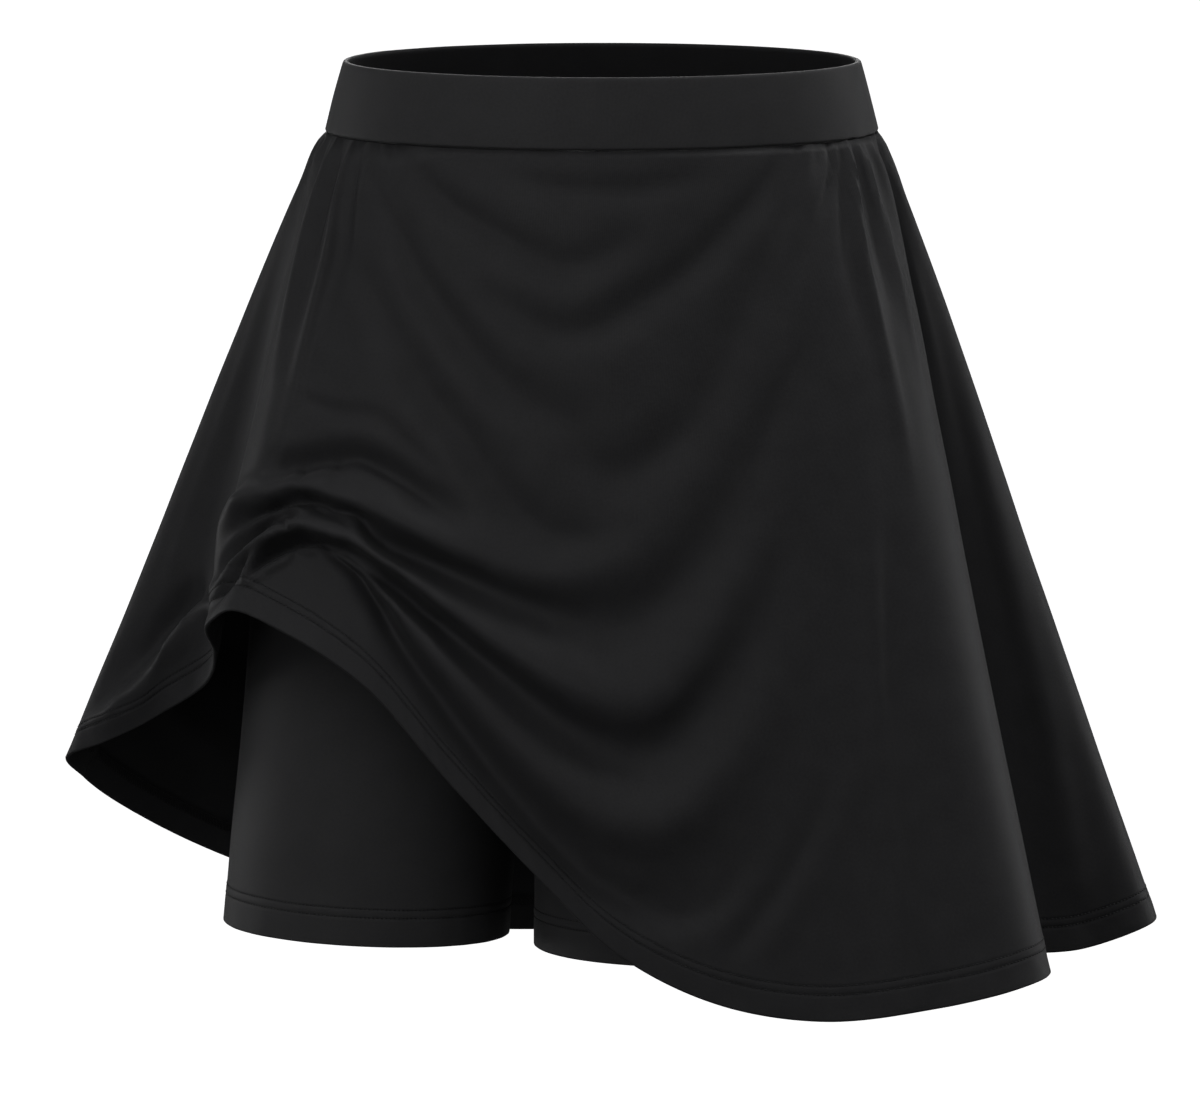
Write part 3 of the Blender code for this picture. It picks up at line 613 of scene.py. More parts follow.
def curve_through(knots, values, at):
    """Points of the smooth curve through `values` at `knots`, read at each place in `at`."""
    knots = np.asarray(knots, float)
    values = np.asarray(values, float)
    slopes = curve_slopes(knots, values)
    index = np.clip(np.searchsorted(knots, at) - 1, 0, len(knots) - 2)
    step = (knots[index + 1] - knots[index])[:, None]
    t = ((at - knots[index]) / step[:, 0])[:, None]
    start = values[index] * (1 + 2 * t) * (1 - t) ** 2 + slopes[index] * step * t * (1 - t) ** 2
    end = values[index + 1] * t**2 * (3 - 2 * t) - slopes[index + 1] * step * t**2 * (1 - t)
    return start + end


def bump(distance, width):
    return np.exp(-((distance / width) ** 2))


def smooth_noise(x, y, seed):
    """Noise between -1 and 1 whose features are about one unit across."""
    size = 64
    table = np.random.default_rng(seed).uniform(-1, 1, (size, size))
    left, low = np.floor(x).astype(int), np.floor(y).astype(int)
    across, up = x - left, y - low
    across, up = across**2 * (3 - 2 * across), up**2 * (3 - 2 * up)
    corners = [[table[(left + i) % size, (low + j) % size] for j in (0, 1)] for i in (0, 1)]
    lower = corners[0][0] + (corners[1][0] - corners[0][0]) * across
    upper = corners[0][1] + (corners[1][1] - corners[0][1]) * across
    return lower + (upper - lower) * up


def unit(vectors):
    return vectors / np.linalg.norm(vectors, axis=-1, keepdims=True)


def outward(points, closed=False):
    """Unit normals of a grid of points whose columns run anticlockwise seen from above."""
    if closed:
        around = np.roll(points, -1, axis=0) - np.roll(points, 1, axis=0)
    else:
        around = np.gradient(points, axis=0)
    return unit(np.cross(np.gradient(points, axis=1), around))


# ---------------------------------------------------------------- the garment's smooth surfaces


def rim_height(angle):
    """Height of the band's top edge; the front dips and the back rises."""
    return -RIM_DIP * np.cos(angle)


def waist_ring(angle, half_width, half_depth, out=0.0):
    """x and y on an oval round the waist; angle 0 is at centre front and 90 degrees at +X."""
    return (half_width + out) * np.sin(angle), -(half_depth + out) * np.cos(angle)


def hem_curve():
    """The hem as a closed smooth curve: knots along it and (seam angle, x, y, z) at each."""
    rows = np.array([row[1:] for row in HEM], float)
    rows[:, 0] = np.radians(rows[:, 0])
    turn = np.array([2 * math.pi, 0, 0, 0])
    around = np.vstack([rows[-HEM_OVERLAP:] - turn, rows, rows[:HEM_OVERLAP] + turn])
    knots = np.concatenate([[0], np.cumsum(np.linalg.norm(np.diff(around[:, 1:], axis=0), axis=1))])
    return knots - knots[HEM_OVERLAP], around


def hem_place(row):
    """How far along the hem curve a row of the HEM table lies."""
    return hem_curve()[0][HEM_OVERLAP + row]


def skirt_surface(along_hem, t):
    """The skirt's smooth middle surface: `t` holds 0 at the seam to 1 at the hem for each column."""
    knots, around = hem_curve()
    foot = curve_through(knots, around, along_hem)
    angle = foot[:, 0:1]
    seam_x, seam_y = waist_ring(angle, BAND_FOOT_HALF_WIDTH, BAND_FOOT_HALF_DEPTH, SKIRT_SEAM_OUT)
    seam_z = rim_height(angle) - BAND_HEIGHT - BAND_SEAM_GAP
    push = GATHER_PUSH * np.sin(angle) ** 2 * (t / GATHER_PUSH_AT) * np.exp(1 - t / GATHER_PUSH_AT)
    fullness = np.where(np.cos(angle) > 0, BELLY_PUSH, SEAT_PUSH) * np.cos(angle) ** 2
    push = push + fullness * np.sin(math.pi * t**0.8)
    x = seam_x + (foot[:, 1:2] - seam_x) * t + push * np.sin(angle)
    y = seam_y + (foot[:, 2:3] - seam_y) * t - push * np.cos(angle)
    z = seam_z + (foot[:, 3:4] - seam_z) * t
    return np.stack([x, y, z], axis=-1)


def distance_round(points, side):
    """Distance of each point along its row from the centre front (side -1) or back (side 1)."""
    steps = np.linalg.norm(np.diff(points[..., :2], axis=0), axis=-1)
    along = np.vstack([np.zeros(points.shape[1]), np.cumsum(steps, axis=0)])
    for row in range(points.shape[1]):
        x = points[:, row, 0]
        near = points[:, row, 1] * side > 0
        crossing = np.flatnonzero(near[:-1] & (x[:-1] * x[1:] <= 0) & (x[:-1] != x[1:]))[0]
        share = x[crossing] / (x[crossing] - x[crossing + 1])
        along[:, row] -= along[crossing, row] + share * steps[crossing, row]
    return along


def rise_point(share, front, side):
    """A point of the centre seam: share 0 at the crotch, 1 at the waist, in front or behind."""
    turn = share * math.pi / 2
    out, height = math.sin(turn) ** RISE_SQUARENESS, (1 - math.cos(turn)) ** RISE_DEPTH_POWER
    angle = 0.0 if front else math.pi
    seam_z = rim_height(angle) - BAND_HEIGHT - BAND_SEAM_GAP
    waist_y = waist_ring(angle, BAND_FOOT_HALF_WIDTH, BAND_FOOT_HALF_DEPTH, SHORTS_SEAM_OUT)[1]
    fullness = RISE_FRONT_FULLNESS if front else RISE_BACK_FULLNESS
    y = CROTCH_BACK + (waist_y - CROTCH_BACK) * out
    y += math.copysign(fullness, waist_y) * math.sin(math.pi * height) * out
    z = CROTCH_HEIGHT + (seam_z - CROTCH_HEIGHT) * height
    opening = RISE_OPENING_AT_WAIST + (RISE_OPENING_AT_CROTCH - RISE_OPENING_AT_WAIST) * (1 - share) ** 0.5
    return CROTCH_LEAN * (1 - height) ** 1.5 + side * opening, y, z


def leg_top(turn, side):
    """The upper edge of one leg piece: along the waist, and down and up the centre seam."""
    inner = min(turn, 2 * math.pi - turn)
    if inner < RISE_SHARE:
        return rise_point(inner / RISE_SHARE, turn < math.pi, side)
    angle = math.pi * (turn - RISE_SHARE) / (2 * math.pi - 2 * RISE_SHARE)
    x, y = waist_ring(angle, BAND_FOOT_HALF_WIDTH, BAND_FOOT_HALF_DEPTH, SHORTS_SEAM_OUT)
    return side * max(x, RISE_OPENING_AT_WAIST), y, rim_height(angle) - BAND_HEIGHT - BAND_SEAM_GAP


def leg_column(turn, side, sections):
    """Points down one leg piece at one turn round it, from its upper edge to its hem."""
    ring = [
        (x - side * half_width * math.cos(turn), y - half_depth * math.sin(turn), z - tilt * math.cos(turn))
        for x, y, half_width, half_depth, z, tilt in sections
    ]
    top, thigh = np.array(leg_top(turn, side)), np.array(ring[0])
    body = 0.5 - 0.5 * math.cos(min(turn, 2 * math.pi - turn, RISE_SHARE) * math.pi / RISE_SHARE)
    seat = BELLY_OF_SHORTS if turn < math.pi else SEAT_OF_SHORTS
    push = body * np.array([-side * HIP_PUSH * math.cos(turn), -seat * math.sin(turn), 0])
    t = np.linspace(0, 1, 6)[:, None]
    return np.vstack([top + (thigh - top) * t + push * np.sin(math.pi * t), ring[1:]])


# ---------------------------------------------------------------- folds


def add_fold(along, z, lean, line, shift):
    """Adds one fold to `shift`, whose layers are outward, along and up."""
    rows = np.array([row if len(row) == 5 else (*row, row[-1]) for row in line], float)
    places = np.linspace(0, len(rows) - 1, STEPS_A_ROW * (len(rows) - 1) + 1)
    knots = np.arange(len(rows), dtype=float)
    path = curve_through(knots, rows[:, :2], places)
    height, above, below = (np.interp(places, knots, rows[:, column]) for column in (2, 3, 4))
    steps = np.gradient(path, axis=0)
    length = np.linalg.norm(steps, axis=1)
    down = np.stack([steps[:, 1], -steps[:, 0]], axis=1) / length[:, None]
    path = path - down * (lean * height)[:, None]
    reach = FOLD_REACH * max(above.max(), below.max())
    low, high = path.min(axis=0) - reach, path.max(axis=0) + reach
    near = (along > low[0]) & (along < high[0]) & (z > low[1]) & (z < high[1])
    here_along, here_z = along[near], z[near]
    total = np.zeros((3, len(here_along)))
    for i in range(len(path)):
        gap_along, gap_z = here_along - path[i, 0], here_z - path[i, 1]
        below_share = 0.5 + 0.5 * np.tanh((gap_along * down[i, 0] + gap_z * down[i, 1]) / SIDE_BLEND)
        width = above[i] + (below[i] - above[i]) * below_share
        weight = height[i] * length[i] / (width * math.sqrt(math.pi))
        weight = weight * np.exp(-(gap_along**2 + gap_z**2) / width**2)
        total[0] += weight
        total[1] += weight * lean * down[i, 0]
        total[2] += weight * lean * down[i, 1]
    for layer in range(3):
        shift[layer][near] += total[layer]


def gather_fold(name, height, width, line):
    """A fold that starts small at the band, grows at once, and widens and dies away down its line."""
    points = np.array(line, float)
    steps = np.linalg.norm(np.diff(points, axis=0), axis=1)
    reach = np.concatenate([[0], np.cumsum(steps)])
    places = np.linspace(0, reach[-1], max(4, int(reach[-1] / 5)))
    path = curve_through(reach, points, places)
    share = places / reach[-1]
    heights = height * (0.35 + 0.65 * np.minimum(1, places / 7)) * (1 - share**2)
    widths = width * (1 + places / 45)
    return name, 0, np.column_stack([path, heights, widths, widths])


def gather_run(side, first, last, count):
    """Gathers fanning from the band towards the side seam, every one a little unlike the next."""
    folds = []
    for i in range(count):
        start = first + (last - first) * (i + 0.5 + 0.28 * math.sin(2.4 * i + first)) / count
        length = 20 + 16 * math.sin(1.9 * i + 0.4) ** 2 + (46 if i % 4 == 1 else 0)
        height = 1.4 + 0.5 * math.sin(3.1 * i + 1.0) + (0.6 if i % 4 == 1 else 0)
        seam_z = -BAND_HEIGHT - BAND_SEAM_GAP - side * RIM_DIP * -math.cos(start / BAND_FOOT_HALF_WIDTH)
        depth = np.array([0, 0.25, 0.6, 1.0]) * length
        line = np.column_stack([start * (1 + GATHER_FAN * depth), seam_z - depth])
        folds.append(gather_fold("gather", height, 2.0 + 0.4 * math.sin(i), line))
    return folds


def front_folds():
    ridges = [gather_fold(*row) for row in FRONT_GATHERS]
    hollows = [gather_fold(name, -depth, width, line) for name, depth, width, line in FRONT_GATHER_HOLLOWS]
    return [*BUNCH_FOLDS, *SWAG_FOLDS, *ridges, *hollows, *run_folds(-1)]


def run_folds(side):
    return [fold for run in GATHER_RUNS if run[0] == side for fold in gather_run(*run)]


def folded(points, side, folds):
    """The surface with its folds, which all are measured on the smooth surface."""
    along, z = distance_round(points, side), points[..., 2]
    shift = [np.zeros_like(along) for _ in range(3)]
    for _, lean, line in folds:
        add_fold(along, z, lean, line, shift)
    around = unit(np.gradient(points, axis=0))
    up = -unit(np.gradient(points, axis=1))
    moves = [axis * layer[..., None] for axis, layer in zip((outward(points), around, up), shift)]
    return points + moves[0] + moves[1] + moves[2]


# ---------------------------------------------------------------- shells


def hem_profile(from_hem, hem_depth):
    """(outer, inner) offsets from the middle surface at each distance above the hem edge."""
    turned = 0.5 - 0.5 * np.tanh((from_hem - hem_depth - HEM_EDGE_ABOVE) / HEM_EDGE_SOFTNESS)
    outer = CLOTH_HALF_WALL + HEM_SWELL * turned
    for row in (hem_depth, hem_depth - ROW_SPACING):
        outer = outer - ROW_GROOVE * bump(from_hem - row, ROW_GROOVE_WIDTH)
    inner = CLOTH_HALF_WALL + HEM_LAYER * turned
    return outer, inner


def add_object(name, mesh, material):
    mesh.validate()
    mesh.shade_smooth()
    mesh.materials.append(material)
    obj = bpy.data.objects.new(name, mesh)
    bpy.context.scene.collection.objects.link(obj)
    return obj


def add_uv(mesh, coordinates):
    """Gives the mesh the UV layer `cloth`, from one pair of coordinates, in metres, for each vertex."""
    corners = np.empty(len(mesh.loops), np.int64)
    mesh.loops.foreach_get("vertex_index", corners)
    layer = mesh.uv_layers.new(name="cloth")
    layer.data.foreach_set("uv", coordinates[corners].astype(np.float32).ravel())


def shell(name, middle, offsets, cut, closed, material):
    """A closed cloth shell: outer face, rounded hem edge and inner face, in one loop for each column.

    `offsets` are the outer and inner faces' distances from the middle surface, and `cut` holds the
    place of each point on the flat cut cloth. Returns the object, its faces and its normals.
    """
    columns, rows = middle.shape[:2]
    normal = outward(middle, closed)
    outer = middle + normal * offsets[0][..., None]
    inner = middle - normal * offsets[1][..., None]
    down = unit(middle[:, -1] - middle[:, -2])
    centre, half = (outer[:, -1] + inner[:, -1]) / 2, (outer[:, -1] - inner[:, -1]) / 2
    radius = np.linalg.norm(half, axis=-1, keepdims=True)
    turns = [math.pi * share for share in (0.2, 0.4, 0.6, 0.8)]
    rim = np.stack([centre + half * math.cos(a) + down * radius * math.sin(a) for a in turns], axis=1)
    loop = np.concatenate([outer, rim, inner[:, ::-1]], axis=1)
    count = loop.shape[1]
    index = np.arange(columns * count).reshape(columns, count)
    here, there = (index, np.roll(index, -1, axis=0)) if closed else (index[:-1], index[1:])
    next_here, next_there = np.roll(here, -1, axis=1), np.roll(there, -1, axis=1)
    faces = np.stack([here, next_here, next_there, there], axis=-1).reshape(-1, 4).tolist()
    if not closed:
        for column, order in ((0, 1), (columns - 1, -1)):
            ring = index[column].tolist()
            sides = [[ring[j], ring[-1 - j], ring[-2 - j], ring[j + 1]] for j in range(rows - 1)]
            tip = [ring[rows - 1], *ring[rows : rows + len(turns) + 1][::-1]]
            faces += [face[::order] for face in [*sides, tip]]
    mesh = bpy.data.meshes.new(name)
    mesh.from_pydata((loop.reshape(-1, 3) * MM).tolist(), [], faces)
    rim_cut = np.repeat(cut[:, -1:], len(turns), axis=1)
    flat = np.concatenate([cut, rim_cut, cut[:, ::-1]], axis=1).reshape(-1, 2) * MM
    add_uv(mesh, flat)
    return add_object(name, mesh, material), outer, inner, normal


def hem_rows(hem_depth):
    steps = np.array(HEM_STEPS, float)
    return np.where(steps > HEM_STEPS_MOVE_ABOVE, steps + hem_depth - HEM_DEPTH, steps)


def crowded(start, end, count, first, last, strength):
    """Places from start to end, closer together between first and last."""
    fine = np.linspace(start, end, 2000)
    edge = (last - first) * CROWDING_EDGE
    inside = 1 / (1 + np.exp(-(fine - first) / edge)) / (1 + np.exp((fine - last) / edge))
    total = np.cumsum(1 + strength * inside)
    return np.interp(np.linspace(total[0], total[-1], count), total, fine)


def with_seam_columns(places):
    near = np.array(SEAM_COLUMNS)
    return np.concatenate([places[:1], places[0] + near, places[1:-1], places[-1] - near[::-1], places[-1:]])


def panel_grid(along_hem, rows, power):
    """(t, distance above the hem): rows down each column, crowded to the hem where power is under 1."""
    ends = skirt_surface(along_hem, np.tile([0.0, 0.5, 1.0], (len(along_hem), 1)))
    length = np.linalg.norm(np.diff(ends, axis=1), axis=-1).sum(axis=1)[:, None]
    hem = hem_rows(HEM_DEPTH)[None, :]
    upper = np.linspace(0, 1, rows)[None, :-1] ** power[:, None] * (length - hem[:, :1])
    down = np.concatenate([upper, length - hem], axis=1)
    return down / length, length - down


def sector_cut(middle):
    """Places on the flat cut cloth, a sector of a ring, for each point of a flared panel."""
    top = np.linalg.norm(np.diff(middle[:, 0], axis=0), axis=-1)
    foot = np.linalg.norm(np.diff(middle[:, -1], axis=0), axis=-1)
    down = np.linalg.norm(np.diff(middle, axis=1), axis=-1)
    reach = np.hstack([np.zeros((len(middle), 1)), np.cumsum(down, axis=1)])
    angle = (foot.sum() - top.sum()) / reach[:, -1].mean()
    turn = (np.concatenate([[0], np.cumsum(foot)]) / foot.sum() - 0.5) * angle
    radius = top.sum() / angle + reach
    return np.stack([radius * np.sin(turn)[:, None], -radius * np.cos(turn)[:, None]], axis=-1)


def unevenness(across, from_hem, seed):
    """Small puckers in the turned hem and a faint waviness of the whole cloth."""
    inside_hem = np.where(from_hem < HEM_DEPTH, np.sin(math.pi * np.clip(from_hem / HEM_DEPTH, 0, 1)), 0)
    puckers = smooth_noise((across + PUCKER_SLANT * from_hem) / PUCKER_SIZE, from_hem / PUCKER_LENGTH, seed)
    wave = smooth_noise(across / WAVE_SIZE[0], from_hem / WAVE_SIZE[1], seed + 1)
    return PUCKER_HEIGHT * inside_hem * puckers + WAVE_HEIGHT * wave


def skirt_panel(name, places, rows, side, folds, power, seed, material):
    places = with_seam_columns(places)
    power = np.interp(np.arange(len(places)), np.arange(len(power)) + len(SEAM_COLUMNS), power)
    t, from_hem = panel_grid(places, rows, power)
    middle = folded(skirt_surface(places, t), side, folds)
    across = np.repeat((places - places[0])[:, None], t.shape[1], axis=1)
    to_seam = np.minimum(across, across[-1] - across)
    shift = unevenness(across, from_hem, seed) - SIDE_SEAM_DIP * bump(to_seam, SIDE_SEAM_DIP_WIDTH)
    middle = middle + outward(middle) * shift[..., None]
    return shell(name, middle, hem_profile(from_hem, HEM_DEPTH), sector_cut(middle), False, material)


# ---------------------------------------------------------------- stitches


def along_path(points, normals, pitch, start=0.0):
    """Evenly spaced points of a path, with its direction and normal at each."""
    steps = np.linalg.norm(np.diff(points, axis=0), axis=1)
    reach = np.concatenate([[0], np.cumsum(steps)])
    at = np.arange(start + pitch / 2, reach[-1] - pitch / 2, pitch)

    def read(values, places):
        return np.stack([np.interp(places, reach, values[:, k]) for k in range(3)], axis=1)

    return read(points, at), unit(read(points, at + 0.4) - read(points, at - 0.4)), unit(read(normals, at))


# Rings along one stitch: (place as a share of its length, size as a share of its radius, lift in mm).
THREAD_RINGS = ((-0.5, 0.45, -0.2), (-0.3, 0.95, 0.05), (0.3, 0.95, 0.05), (0.5, 0.45, -0.2))
THREAD_SIDES = 5


def thread_parts(starts, ends, normals, radius):
    """Vertices and faces of many short threads, each from one start to one end, lying on the cloth."""
    along = ends - starts
    length = np.linalg.norm(along, axis=1, keepdims=True)
    along = along / length
    beside = unit(np.cross(normals, along))
    lift = np.cross(along, beside)
    turns = np.arange(THREAD_SIDES) * 2 * math.pi / THREAD_SIDES
    rings = []
    for share, size, rise in THREAD_RINGS:
        centre = (starts + ends) / 2 + along * length * share + lift * rise
        for turn in turns:
            rings.append(centre + (beside * math.cos(turn) + lift * math.sin(turn)) * radius * size)
    vertices = np.stack(rings, axis=1)
    template = []
    for ring in range(len(THREAD_RINGS) - 1):
        for i in range(THREAD_SIDES):
            a, b = ring * THREAD_SIDES + i, ring * THREAD_SIDES + (i + 1) % THREAD_SIDES
            template.append((a, a + THREAD_SIDES, b + THREAD_SIDES, b))
    per_thread = vertices.shape[1]
    caps = [tuple(range(THREAD_SIDES)), tuple(range(per_thread - 1, per_thread - 1 - THREAD_SIDES, -1))]
    faces = [[v + k * per_thread for v in face] for k in range(len(starts)) for face in [*template, *caps]]
    return vertices.reshape(-1, 3), faces


def hem_stitches(name, outer, inner, normal, hem_depth, body_material):
    """Twin-needle rows on the outer face, and the looper thread that joins them on the inner face."""
    steps = hem_rows(hem_depth)
    rows = (hem_depth, hem_depth - ROW_SPACING)
    columns = [len(outer[0]) - len(steps) + int(np.argmin(abs(steps - row))) for row in rows]
    vertices, faces = [], []

    def add(part):
        offset = sum(len(block) for block in vertices)
        vertices.append(part[0])
        faces.extend([[v + offset for v in face] for face in part[1]])

    for column in columns:
        place, direction, out = along_path(outer[:, column], normal[:, column], STITCH_PITCH)
        place = place + out * (ROW_GROOVE * STITCH_LIFT)
        half = direction * STITCH_LENGTH / 2
        add(thread_parts(place - half, place + half, out, STITCH_RADIUS))
    upper, _, out = along_path(inner[:, columns[0]], -normal[:, columns[0]], STITCH_PITCH)
    lower, _, _ = along_path(inner[:, columns[1]], -normal[:, columns[1]], STITCH_PITCH)
    count = min(len(upper), len(lower)) - 1
    upper, lower, out = (block[: count + 1].copy() for block in (upper, lower, out))
    upper, lower = upper + out * LOOPER_LIFT, lower + out * LOOPER_LIFT
    add(thread_parts(upper[:-1], lower[:-1], out[:-1], LOOPER_RADIUS))
    add(thread_parts(lower[:-1], upper[1:], out[:-1], LOOPER_RADIUS))
    for line in (upper, lower):
        add(thread_parts(line[:-1], line[1:], out[:-1], LOOPER_RADIUS))
    mesh = bpy.data.meshes.new(name)
    mesh.from_pydata((np.vstack(vertices) * MM).tolist(), [], faces)
    return add_object(name, mesh, body_material)


# ---------------------------------------------------------------- pieces


def build_front(material):
    left_seam = hem_place(LEFT_SEAM_ROW)
    bunch = hem_place(BUNCH_FIRST_ROW), hem_place(BUNCH_LAST_ROW)
    gap = SIDE_SEAM_GAP / 2
    places = crowded(gap, left_seam - gap, FRONT_COLUMNS, *bunch, BUNCH_CROWDING)
    first, last = bunch
    inside = 1 / (1 + np.exp((first - places) / BUNCH_EDGE)) / (1 + np.exp((places - last) / BUNCH_EDGE))
    power = 1 + (BUNCH_ROW_POWER - 1) * inside
    folds = front_folds()
    return skirt_panel("skirt_front_cloth", places, FRONT_ROWS, -1, folds, power, FRONT_SEED, material)


def build_back(material):
    gap = SIDE_SEAM_GAP / 2
    places = np.linspace(hem_place(LEFT_SEAM_ROW) + gap, hem_place(len(HEM)) - gap, BACK_COLUMNS)
    folds = [*BACK_FOLDS, *run_folds(1)]
    power = np.ones(BACK_COLUMNS)
    return skirt_panel("skirt_back_cloth", places, BACK_ROWS, 1, folds, power, BACK_SEED, material)


def build_leg(name, side, sections, seed, material):
    turns = np.linspace(0, 2 * math.pi, LEG_COLUMNS, endpoint=False) + 0.01
    steps = hem_rows(SHORTS_HEM_DEPTH)
    columns, from_hem = [], []
    for turn in turns:
        points = leg_column(turn, side, sections)
        reach = np.concatenate([[0], np.cumsum(np.linalg.norm(np.diff(points, axis=0), axis=1))])
        upper = np.linspace(0, 1, LEG_ROWS)[:-1] * (reach[-1] - steps[0])
        down = np.concatenate([upper, reach[-1] - steps])
        columns.append(curve_through(reach, points, down))
        from_hem.append(reach[-1] - down)
    anticlockwise = side  # the step through the columns that goes anticlockwise seen from above
    middle, from_hem = np.array(columns[::anticlockwise]), np.array(from_hem[::anticlockwise])
    normal = outward(middle, True)
    across = np.repeat((turns[::anticlockwise] * sections[2][2])[:, None], middle.shape[1], axis=1)
    puckers = smooth_noise(across / LEG_PUCKER_SIZE, from_hem / PUCKER_LENGTH, seed)
    wave = smooth_noise(across / LEG_WAVE_SIZE[0], from_hem / LEG_WAVE_SIZE[1], seed + 1)
    shift = LEG_PUCKER_HEIGHT * puckers * (from_hem < SHORTS_HEM_DEPTH)
    shift = shift + LEG_WAVE_HEIGHT * wave * bump(from_hem - LEG_WAVE_ABOVE_HEM, LEG_WAVE_REACH)
    middle = middle + normal * shift[..., None]
    cut = np.stack([across, from_hem], axis=-1)
    return shell(name, middle, hem_profile(from_hem, SHORTS_HEM_DEPTH), cut, True, material)


def band_section():
    """(distance down, distance out) round the band's section, clockwise seen along the waist.

    It starts at the inner end of the folded top edge and ends at the foot of the inner face.
    """
    half, foot_radius = BAND_WALL / 2, BAND_FOOT_RADIUS
    fold = [(half - half * math.sin(a), -half * math.cos(a)) for a in np.linspace(0, math.pi, 9)]
    face_down = np.linspace(half + 1.5, BAND_HEIGHT - foot_radius - 1.0, 10)
    face = [(down, half + BAND_SWELL * math.sin(math.pi * down / BAND_HEIGHT)) for down in face_down]
    corner_down, corner_out = BAND_HEIGHT - foot_radius, half - foot_radius
    corner = [
        (corner_down + foot_radius * math.sin(a), corner_out + foot_radius * math.cos(a))
        for a in np.linspace(0, math.pi / 2, 6)
    ]
    inner = [(down, -half) for down in np.linspace(BAND_HEIGHT, half + 1.5, 8)]
    return np.array(fold + face + corner + inner)


def build_band(material, inside_shade_material):
    """The doubled band, rippled where the gathers pull at its foot and joined at the centre back."""
    angle = np.linspace(0, 2 * math.pi, BAND_COLUMNS, endpoint=False)[:, None]
    section = band_section()
    down, out = section[:, 0][None, :], section[:, 1][None, :]
    at_sides = np.sin(angle) ** 4
    near_foot = np.clip((down - BAND_HEIGHT + BAND_RIPPLE_REACH) / BAND_RIPPLE_REACH, 0, 1) ** 2
    ripple = smooth_noise(angle * 26, 0 * angle, BAND_RIPPLE_SEED) * (0.12 + 0.5 * at_sides) * near_foot
    waviness = 0.25 * smooth_noise(angle * 5, down / 22, BAND_WAVE_SEED)
    from_closing = (np.mod(angle, 2 * math.pi) - math.pi) * BAND_FOOT_HALF_WIDTH
    closing = SIDE_SEAM_DIP * bump(from_closing, BAND_SEAM_DIP_WIDTH)

    def wall(depth):
        share = depth / BAND_HEIGHT
        half_width = BAND_TOP_HALF_WIDTH + (BAND_FOOT_HALF_WIDTH - BAND_TOP_HALF_WIDTH) * share
        half_depth = BAND_TOP_HALF_DEPTH + (BAND_FOOT_HALF_DEPTH - BAND_TOP_HALF_DEPTH) * share
        x, y = waist_ring(angle, half_width, half_depth)
        return np.stack([x, y, rim_height(angle) - depth], axis=-1)

    base = wall(down)
    around = np.roll(base, -1, axis=0) - np.roll(base, 1, axis=0)
    normal = unit(np.cross(wall(down + 1) - base, around))
    outer_side = out > 0
    shift = out + (0.5 * ripple + waviness - closing) * outer_side
    points = base + normal * shift[..., None]
    points[..., 2] -= 0.7 * ripple
    columns, count = points.shape[:2]
    index = np.arange(columns * count).reshape(columns, count)
    there = np.roll(index, -1, axis=0)
    faces = np.stack([index, np.roll(index, -1, axis=1), np.roll(there, -1, axis=1), there], axis=-1)
    mesh = bpy.data.meshes.new("waistband_cloth")
    mesh.from_pydata((points.reshape(-1, 3) * MM).tolist(), [], faces.reshape(-1, 4).tolist())
    flat = np.stack(np.broadcast_arrays(angle * BAND_MEAN_RADIUS, down), axis=-1)
    add_uv(mesh, flat.reshape(-1, 2) * MM)
    band = add_object("waistband_cloth", mesh, material)
    mesh.materials.append(inside_shade_material)
    # The inner face takes the darker copy of the cloth, as painted shade.
    mesh.polygons.foreach_set("material_index", np.tile((out[0] <= 0).astype(int), columns))
    return band


# ---------------------------------------------------------------- materials

# The knit's columns and rows of loops, in metres
WALE = 0.00062
COURSE = 0.0005
KNIT_RELIEF = 0.00012

# One row for each cloth: (name, colour of the gaps, which is painted shade in the knit's recesses and the
# dark end of the mottling, colour of the yarn, roughness, specular level, sheen, strength of the relief).
CLOTHS = (
    ("skirt_jersey", (0.0095, 0.0095, 0.01), (0.0235, 0.0235, 0.0245), 0.42, 0.03, 0.04, 0.4),
    ("shorts_jersey", (0.0175, 0.0175, 0.018), (0.031, 0.031, 0.032), 0.5, 0.03, 0.06, 0.35),
    ("waistband_jersey", (0.014, 0.014, 0.0145), (0.028, 0.028, 0.029), 0.5, 0.03, 0.07, 0.3),
    # The band's inside: a darker copy of the band's own cloth, painted shade where the inside of the waist is
    # in shade.
    ("waistband_inside_painted_shade", (0.007, 0.007, 0.0075), (0.014, 0.014, 0.0145), 0.5, 0.02, 0.03, 0.3),
)
# Darker than the cloth, so the stitch rows read as dark dots: partly the thread's own black, partly painted
# shade of the stitch holes.
THREAD_COLOUR = (0.0025, 0.0025, 0.003)


def node(tree, kind, **values):
    made = tree.nodes.new(kind)
    for key, value in values.items():
        setattr(made, key, value)
    return made


def calculate(tree, operation, first, second=None, third=None):
    """A Math node; each value is a number or another node's output."""
    made = node(tree, "ShaderNodeMath", operation=operation)
    for socket, value in zip(made.inputs, (first, second, third)):
        if value is None:
            continue
        if isinstance(value, (int, float)):
            socket.default_value = value
        else:
            tree.links.new(value, socket)
    return made.outputs[0]


